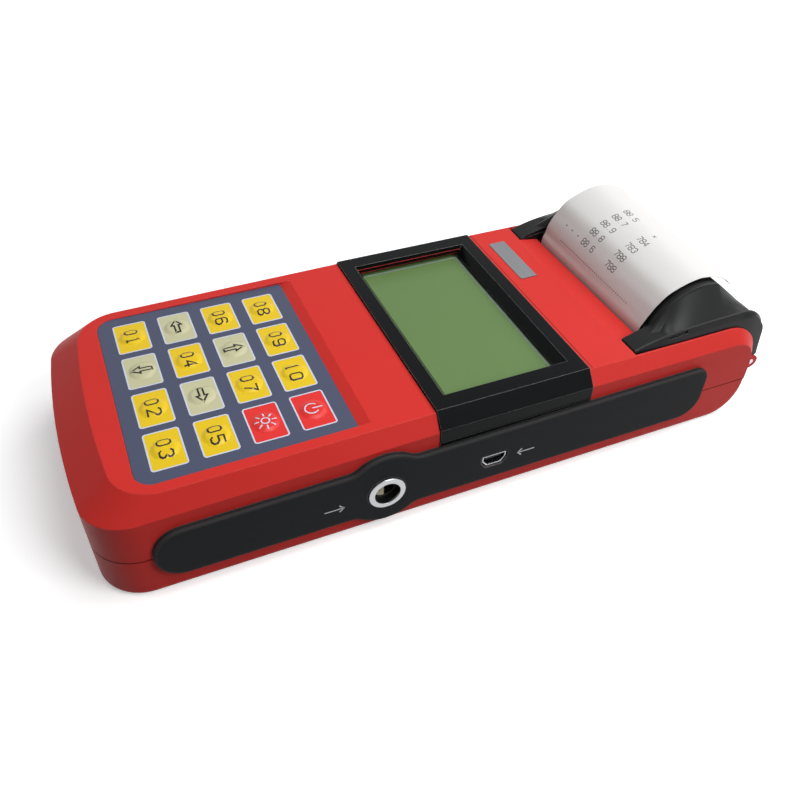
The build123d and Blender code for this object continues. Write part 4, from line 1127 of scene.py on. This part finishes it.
@dataclass
class UpperShell:
    """Upper housing as packed, with the two front corners closed over their screw bosses.

    The bosses' ends reach a third of a millimetre through the front chamfer. Here that sliver is pressed
    flush and shaded as the chamfer beside it. Sizes in millimetres.
    """

    boss_top_z: float = 31.5
    low_z: float = 31.0
    span_x: Point2 = (33.0, 36.8)
    span_y: Point2 = (-99.1, -96.8)
    play: float = 0.01
    reach: float = 0.3
    margin_y: float = 4.0
    wall_tilt: float = 0.2
    chamfer_tilt: Point2 = (0.5, 0.95)
    flat_tilt: float = 0.99

    def within(self, point: Vector) -> bool:
        """Whether a point lies where a boss reaches through.

        Args:
            point: The point in metres.

        Returns:
            True on either side's boss.
        """
        x, y, z = point / MM
        across = self.span_x[0] < abs(x) < self.span_x[1]
        return across and self.span_y[0] < y < self.span_y[1] and self.low_z < z < self.boss_top_z + self.play

    def build(self) -> None:
        """Copy the housing, press both slivers flush and give them the chamfer's shading."""
        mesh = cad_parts["upper_housing"].data.copy()
        mesh.name = "upper_shell"
        normals = [Vector(corner.vector) for corner in mesh.corner_normals]
        sliver, chamfer = [], []
        for face in mesh.polygons:
            tilt = face.normal.z
            steep = tilt > self.flat_tilt or abs(tilt) < self.wall_tilt
            if steep and all(self.within(mesh.vertices[k].co) for k in face.vertices):
                sliver.append(face)
            elif self.chamfer_tilt[0] < tilt < self.chamfer_tilt[1]:
                if face.center.y < (self.span_y[1] + self.margin_y) * MM:
                    chamfer += [(mesh.loops[k].vertex_index, normals[k]) for k in face.loop_indices]
        corners = {k for face in sliver for k in face.vertices}
        points = [mesh.vertices[k].co for k in corners]
        lower = [point.copy() for point in points if point.z < (self.boss_top_z - self.play) * MM]
        for point in points:
            nearest = min(lower, key=lambda other: (other.xy - point.xy).length, default=point)
            if (nearest.xy - point.xy).length < self.reach * MM:
                point.z = nearest.z
        for face in sliver:
            for k in face.loop_indices:
                point = mesh.vertices[mesh.loops[k].vertex_index].co
                normals[k] = min(chamfer, key=lambda pair: (mesh.vertices[pair[0]].co - point).length)[1]
        mesh.normals_split_custom_set(normals)
        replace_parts(add_piece("upper_shell", mesh, RED_ABS, "housing"), "upper_housing")


@dataclass
class SocketLiner:
    """Black moulded lining inside the sensor socket, round its cream insert. Sizes in millimetres."""

    centre: Point2 = (-27.62, 14.58)
    section: tuple[Point2, ...] = ((44.5, 3.84), (42.13, 3.8), (42.12, 3.38), (34.4, 3.36))
    spokes: int = 64

    def build(self) -> None:
        """Turn the section about the socket's axis."""
        y, z = self.centre
        points: list[Point3] = []
        for x, radius in self.section:
            points += [(x, y + u, z + v) for u, v in arc(radius, 0, 360, self.spokes)[:-1]]
        faces = [face[::-1] for face in loft_faces(len(self.section), self.spokes)]
        make_piece("socket_liner", points, faces, BLACK_ABS, "housing")


@dataclass
class DisplayTrim:
    """Small parts of the display: lips under the surround's ends, rim of the glass, painted shadow line of
    the joint behind it.

    Sizes in millimetres.
    """

    lip_x: Point2 = (33.6, 33.88)
    lip_y: Point2 = (-5.4, 31.8)
    lip_z: Point2 = (33.0, 33.96)
    rim_z: float = 31.12
    far_rim: tuple[Point2, Point2] = ((-33.9, -33.1), (-4.4, 30.8))
    rear_rim: tuple[Point2, Point2] = ((-33.1, 33.9), (30.05, 30.9))
    joint_y: Point2 = (38.75, 38.95)
    joint_inset: float = 0.3
    joint_lift: float = 0.015
    play: float = 0.01

    def build(self) -> None:
        """Make the lips, the rim and the painted shadow line of the joint."""
        for side in (1, -1):
            section = rectangle(self.lip_y, self.lip_z)
            add_bar(f"display_lip_{side_name(side)}", section, self.lip_x, side, BLACKED_ABS)
        rims = [rectangle(*self.far_rim), rectangle(*self.rear_rim)]
        paint("display_rim", rims, lambda u, v: (u, v, self.rim_z), GLASS_RIM)
        deck_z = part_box("upper_housing")[1][2] / MM
        places = [v.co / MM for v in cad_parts["upper_housing"].data.vertices]
        half = max(place.x for place in places if abs(place.z - deck_z) < self.play) - self.joint_inset
        # A thin dark strip on the deck behind the surround: painted shadow of the joint.
        joint = [rectangle((-half, half), self.joint_y)]
        paint("surround_joint_shadow", joint, lambda u, v: (u, v, deck_z + self.joint_lift), JOINT_SHADOW)


@dataclass
class BezelFoot:
    """Lowest strip of the display surround on one side, down to the grip. Sizes in millimetres."""

    side: int
    span_x: Point2 = (42.5, 42.9)
    top_z: float = 26.1
    front_z: float = 24.72
    rear_z: float = 25.45

    def build(self) -> None:
        """Make the strip between the surround's foot and the grip's upper edge."""
        front, rear = (corner[1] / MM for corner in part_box("display_bezel"))
        section = [(front, self.front_z), (rear, self.rear_z), (rear, self.top_z), (front, self.top_z)]
        add_bar(f"bezel_foot_{side_name(self.side)}", section, self.span_x, self.side, BLACK_ACRYLIC)


@dataclass
class CoverFlank:
    """Sloping cheek of the hump and rounded side plate with its finger groove, on one side of the cover.

    Sizes are in millimetres. Lengthwise places count from the hinge, negative towards the display. The
    plate's section gives x, the step inwards from the outline, and x where the groove crosses.
    """

    side: int
    hinge_y: float
    tip: float = -49.9
    ridge_front_z: float = 35.0
    ridge_rise: float = 4.05
    ridge_run: float = 10.0
    ear_start: float = -10.4
    ear_radius: float = 10.3
    ear_end_angle: float = 9.0
    ear_steps: int = 14
    ear_bevel: float = 0.3
    ear_blend: int = 3
    foot: Point2 = (1.4, 19.8)
    underside: tuple[Point2, ...] = ((-4.3, 19.8), (-5.6, 23.6), (-8.0, 27.4), (-12.0, 31.05))
    floor_z: float = 31.05
    groove: Point2 = (-38.6, -31.6)
    groove_edge: float = 0.02
    plate_step: float = 0.8
    slope_reach: float = 0.1
    section: tuple[Point3, ...] = (
        (36.9, 0.12, 36.9), (37.3, 0.0, 37.3), (37.65, 0.12, 37.65), (37.85, 0.5, 37.85),
        (37.87, 0.54, 37.4), (38.12, 1.4, 37.4), (38.14, 1.44, 38.14), (38.62, 2.8, 38.62),
    )
    cheek_x: Point2 = (30.9, 37.25)
    cheek_drop: float = 0.04
    cheek_stations: int = 84
    cheek_rows: int = 6
    thickness: float = 1.2
    hump: Point2 = (-23.2, 29.8)
    hump_radius: float = 18.0
    crest: Point2 = (-17.5, 46.87)
    fall: float = 0.836
    wedge_end: float = -7.6

    def ridge(self, along: float) -> float:
        """Height of the ridge: quick rise from the tip, long level stretch, round ear.

        Args:
            along: Place from the hinge.

        Returns:
            Height above the floor.
        """
        if along <= self.ear_start:
            return self.ridge_front_z + self.ridge_rise * (1 - math.exp((self.tip - along) / self.ridge_run))
        middle = self.ridge(self.ear_start) - self.ear_radius
        return middle + math.sqrt(self.ear_radius**2 - (along - self.ear_start) ** 2)

    def hump_line(self, along: float) -> float:
        """Height of the hump's edge, the arc and then the rear slope, never under the ridge.

        Args:
            along: Place from the hinge.

        Returns:
            Height above the floor.
        """
        if along > self.crest[0]:
            return max(self.ridge(along), self.crest[1] - (along - self.crest[0]) * self.fall)
        gap = self.hump_radius**2 - (along - self.hump[0]) ** 2
        return max(self.ridge(along), self.hump[1] + math.sqrt(gap) if gap > 0 else 0.0)

    def add(self, kind: str, points: list[Point3], faces: list[Face]) -> None:
        """Make one piece of the flank, mirrored if it is on the left side.

        Args:
            kind: What it is, for its name.
            points: Points, with x outwards and y from the hinge.
            faces: Faces of the right-hand piece.
        """
        placed = [(self.side * x, self.hinge_y + along, z) for x, along, z in points]
        turned_faces = [face[:: self.side] for face in faces]
        make_piece(f"cover_{kind}_{side_name(self.side)}", placed, turned_faces, BLACK_ABS, "cover")

    def build(self) -> None:
        """Make the cheek and the side plate."""
        self.build_cheek()
        self.build_plate()

    def build_cheek(self) -> None:
        """Make the sloping cheek, a skin from the hump's edge to the ridge."""
        inner, outer = self.cheek_x
        points: list[Point3] = []
        for depth in (0.0, self.thickness):
            for station in range(self.cheek_stations + 1):
                along = self.tip + (self.wedge_end - self.tip) * station / self.cheek_stations
                top, foot = self.hump_line(along), self.ridge(along)
                for row in range(self.cheek_rows + 1):
                    share = row / self.cheek_rows
                    z = top + (foot - top) * share - self.cheek_drop - depth
                    points.append((inner + (outer - inner) * share, along, z))
        self.add("cheek", points, sheet_faces(self.cheek_stations, self.cheek_rows))

    def outline(self) -> list[tuple[float, float, float, float, bool]]:
        """Outline of the side plate with its inward direction, and whether the groove crosses it.

        Returns:
            Lengthwise place, height, inward direction along both, and the groove's mark.
        """
        count = math.ceil((self.ear_start - self.tip) / self.plate_step)
        stations = [self.tip + self.plate_step * step for step in range(count)]
        stations += [end + play for end in self.groove for play in (-self.groove_edge, self.groove_edge)]
        line: list[tuple[float, float, float, float, bool]] = []
        for along in sorted(stations):
            rise = self.ridge(along + self.slope_reach) - self.ridge(along - self.slope_reach)
            slope = rise / (2 * self.slope_reach)
            size = math.hypot(1, slope)
            marked = self.groove[0] < along < self.groove[1]
            line.append((along, self.ridge(along), slope / size, -1 / size, marked))
        top = self.ridge(self.ear_start)
        line.append((self.ear_start, top, 0.0, -1.0, False))
        ear = arc(self.ear_radius, 90, self.ear_end_angle, self.ear_steps)
        for step, (u, v) in enumerate(ear[1:], start=1):
            share = 1 - (1 - self.ear_bevel) * min(1.0, self.ear_blend * step / self.ear_steps)
            inward_y, inward_z = -u / self.ear_radius * share, -v / self.ear_radius * share
            line.append((self.ear_start + u, top - self.ear_radius + v, inward_y, inward_z, False))
        line.append((*self.foot, -self.ear_bevel, 0.0, False))
        line += [(along, z, 0.0, 0.0, False) for along, z in (*self.underside, (self.tip, self.floor_z))]
        return line

    def build_plate(self) -> None:
        """Make the side plate: bevelled ridge, finger groove under it, flat outer face."""
        line = self.outline()
        points: list[Point3] = []
        for plain_x, inset, cut_x in self.section:
            for along, z, inward_y, inward_z, marked in line:
                points.append((cut_x if marked else plain_x, along + inset * inward_y, z + inset * inward_z))
        count = len(line)
        faces = loft_faces(len(self.section), count)
        faces.append(tuple(range(count)))
        faces.append(tuple(range(len(points) - count, len(points)))[::-1])
        self.add("side", points, faces)


@dataclass(frozen=True)
class Lamp:
    """One soft square lamp: where it hangs, its side in metres and its power in watts."""

    name: str
    place: Point3
    size: float
    power: float
    target: Point3 = (0.0, 0.03, 0.02)

    def build(self) -> None:
        """Hang the lamp and point it at its target."""
        lamp = bpy.data.lights.new(self.name, "AREA")
        lamp.shape = "SQUARE"
        lamp.size = self.size
        lamp.energy = self.power
        held = bpy.data.objects.new(self.name, lamp)
        bpy.context.scene.collection.objects.link(held)
        held.location = self.place
        held.rotation_euler = (Vector(self.target) - Vector(self.place)).to_track_quat("-Z", "Y").to_euler()
        log.info("%s: lamp of %.1f W", self.name, self.power)


@dataclass
class Studio:
    """Pale floor, soft lamps, plain world and the camera. Sizes in metres and pixels."""

    lamps: tuple[Lamp, ...] = (
        Lamp("rear_lamp", (-0.15, 0.75, 0.75), 0.7, 3.8),
        Lamp("top_lamp", (0.06, 0.05, 0.44), 0.2, 0.82),
        Lamp("side_lamp", (0.5, 0.36, 0.6), 0.4, 3.8, (0.0, 0.05, 0.02)),
    )
    floor_half: float = 3.0
    floor_bounce: str = "#605E5B"
    floor_seen: float = 0.93
    glow: Point2 = (0.42, 1.0)
    glow_reach: Point2 = (0.25, 0.9)
    sky: str = "#F4F6FA"
    sky_strength: float = 0.11
    sensor_mm: float = 36.0
    clip_start: float = 0.01
    focal_px: float = 802.742
    frame_px: float = 800.0
    azimuth: float = 65.4793
    elevation: float = 42.3751
    roll: float = 1.87016
    aim_px: Point2 = (446.76854, 394.91597)
    distance: float = 0.27463
    shift_y: float = 0.0132

    def build_floor(self) -> None:
        """Make the floor: dull for the light that it sends back, near white where it is seen.

        Away from the object the seen floor glows more, so that it stays white where the lamps fade.
        """
        mesh = bpy.data.meshes.new("floor")
        half = self.floor_half
        corners = [(x, y, 0) for x, y in rectangle((-half, half), (-half, half))]
        mesh.from_pydata(corners, [], [(0, 1, 2, 3)])
        floor = bpy.data.objects.new("floor", mesh)
        bpy.context.scene.collection.objects.link(floor)
        made = bpy.data.materials.new("painted_floor")
        made.use_nodes = True
        tree = made.node_tree
        tree.nodes.clear()
        plain = add_node(tree, "ShaderNodeBsdfDiffuse", {"Color": srgb(self.floor_bounce)})
        bright = add_node(tree, "ShaderNodeBsdfDiffuse", {"Color": (*(self.floor_seen,) * 3, 1.0)})
        place = add_node(tree, "ShaderNodeTexCoord").outputs["Object"]
        away = add_node(tree, "ShaderNodeVectorMath", {"operation": "LENGTH"}, {0: place})
        names = ("From Min", "From Max", "To Min", "To Max")
        limits = dict(zip(names, (*self.glow_reach, *self.glow)))
        rise = add_node(tree, "ShaderNodeMapRange", limits, {"Value": away.outputs["Value"]})
        glow = add_node(tree, "ShaderNodeEmission", {}, {"Strength": rise.outputs["Result"]})
        both = add_node(tree, "ShaderNodeAddShader", {}, {0: bright.outputs[0], 1: glow.outputs[0]})
        self.mix_seen(tree, plain, both, "ShaderNodeOutputMaterial")
        mesh.materials.append(made)

    def mix_seen(self, tree: Tree, hidden: Node, seen: Node, output: str) -> None:
        """Send one shader to the light, and another to the camera, a mirror or clear glass.

        Args:
            tree: The node tree of a material or the world.
            hidden: Shader for the light that is sent back.
            seen: Shader that is looked at.
            output: Blender's type name of the tree's output node.
        """
        path = add_node(tree, "ShaderNodeLightPath")
        share = path.outputs["Is Camera Ray"]
        for ray in ("Is Glossy Ray", "Is Transmission Ray"):
            either = {0: share, 1: path.outputs[ray]}
            share = add_node(tree, "ShaderNodeMath", {"operation": "MAXIMUM"}, either).outputs[0]
        shaders = {0: share, 1: hidden.outputs[0], 2: seen.outputs[0]}
        mix = add_node(tree, "ShaderNodeMixShader", {}, shaders)
        add_node(tree, output, {}, {"Surface": mix.outputs[0]})

    def build_world(self) -> None:
        """Make the world: a soft grey that lights the object, and white where it is seen."""
        world = bpy.data.worlds.new("studio")
        bpy.context.scene.world = world
        world.use_nodes = True
        tree = world.node_tree
        tree.nodes.clear()
        settings = {"Color": srgb(self.sky), "Strength": self.sky_strength}
        soft = add_node(tree, "ShaderNodeBackground", settings)
        white = add_node(tree, "ShaderNodeBackground", {"Color": (1, 1, 1, 1), "Strength": 1.0})
        self.mix_seen(tree, soft, white, "ShaderNodeOutputWorld")

    def build_camera(self) -> None:
        """Place the camera where the photograph was taken from."""
        a, e, r = (math.radians(v) for v in (self.azimuth, self.elevation, self.roll))
        back = Vector((math.sin(a) * math.cos(e), -math.cos(a) * math.cos(e), math.sin(e)))
        right = Vector((math.cos(a), math.sin(a), 0))
        up = back.cross(right)
        right, up = math.cos(r) * right + math.sin(r) * up, -math.sin(r) * right + math.cos(r) * up
        u, v = ((aim - self.frame_px / 2) * self.distance / self.focal_px for aim in self.aim_px)
        eye = up * v - right * u + back * self.distance + Vector((0, self.shift_y, 0))
        data = bpy.data.cameras.new("camera")
        data.sensor_width = self.sensor_mm
        data.lens = self.focal_px / self.frame_px * self.sensor_mm
        data.clip_start = self.clip_start
        camera = bpy.data.objects.new("camera", data)
        bpy.context.scene.collection.objects.link(camera)
        camera.matrix_world = Matrix.Translation(eye) @ Matrix((right, up, back)).transposed().to_4x4()
        bpy.context.scene.camera = camera

    def build(self) -> None:
        """Set up the floor, world, lamps, camera and colour transform."""
        self.build_floor()
        self.build_world()
        for lamp in self.lamps:
            lamp.build()
        self.build_camera()
        bpy.context.scene.view_settings.view_transform = "Standard"


def main() -> None:
    """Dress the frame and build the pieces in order."""
    logging.basicConfig(level=logging.INFO, format="%(message)s")
    for node, finish in NODE_FINISHES.items():
        dress_node(node, finish)
    for part in (Studio, Keypad, PaperStrip, SideMarks, SeamShadowLine, UpperShell, SocketLiner, DisplayTrim):
        part().build()
    low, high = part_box("hinge_pin")
    for side in (-1, 1):
        CoverFlank(side, (low[1] + high[1]) / 2 / MM).build()
        BezelFoot(side).build()


if __name__ == "__main__":
    main()
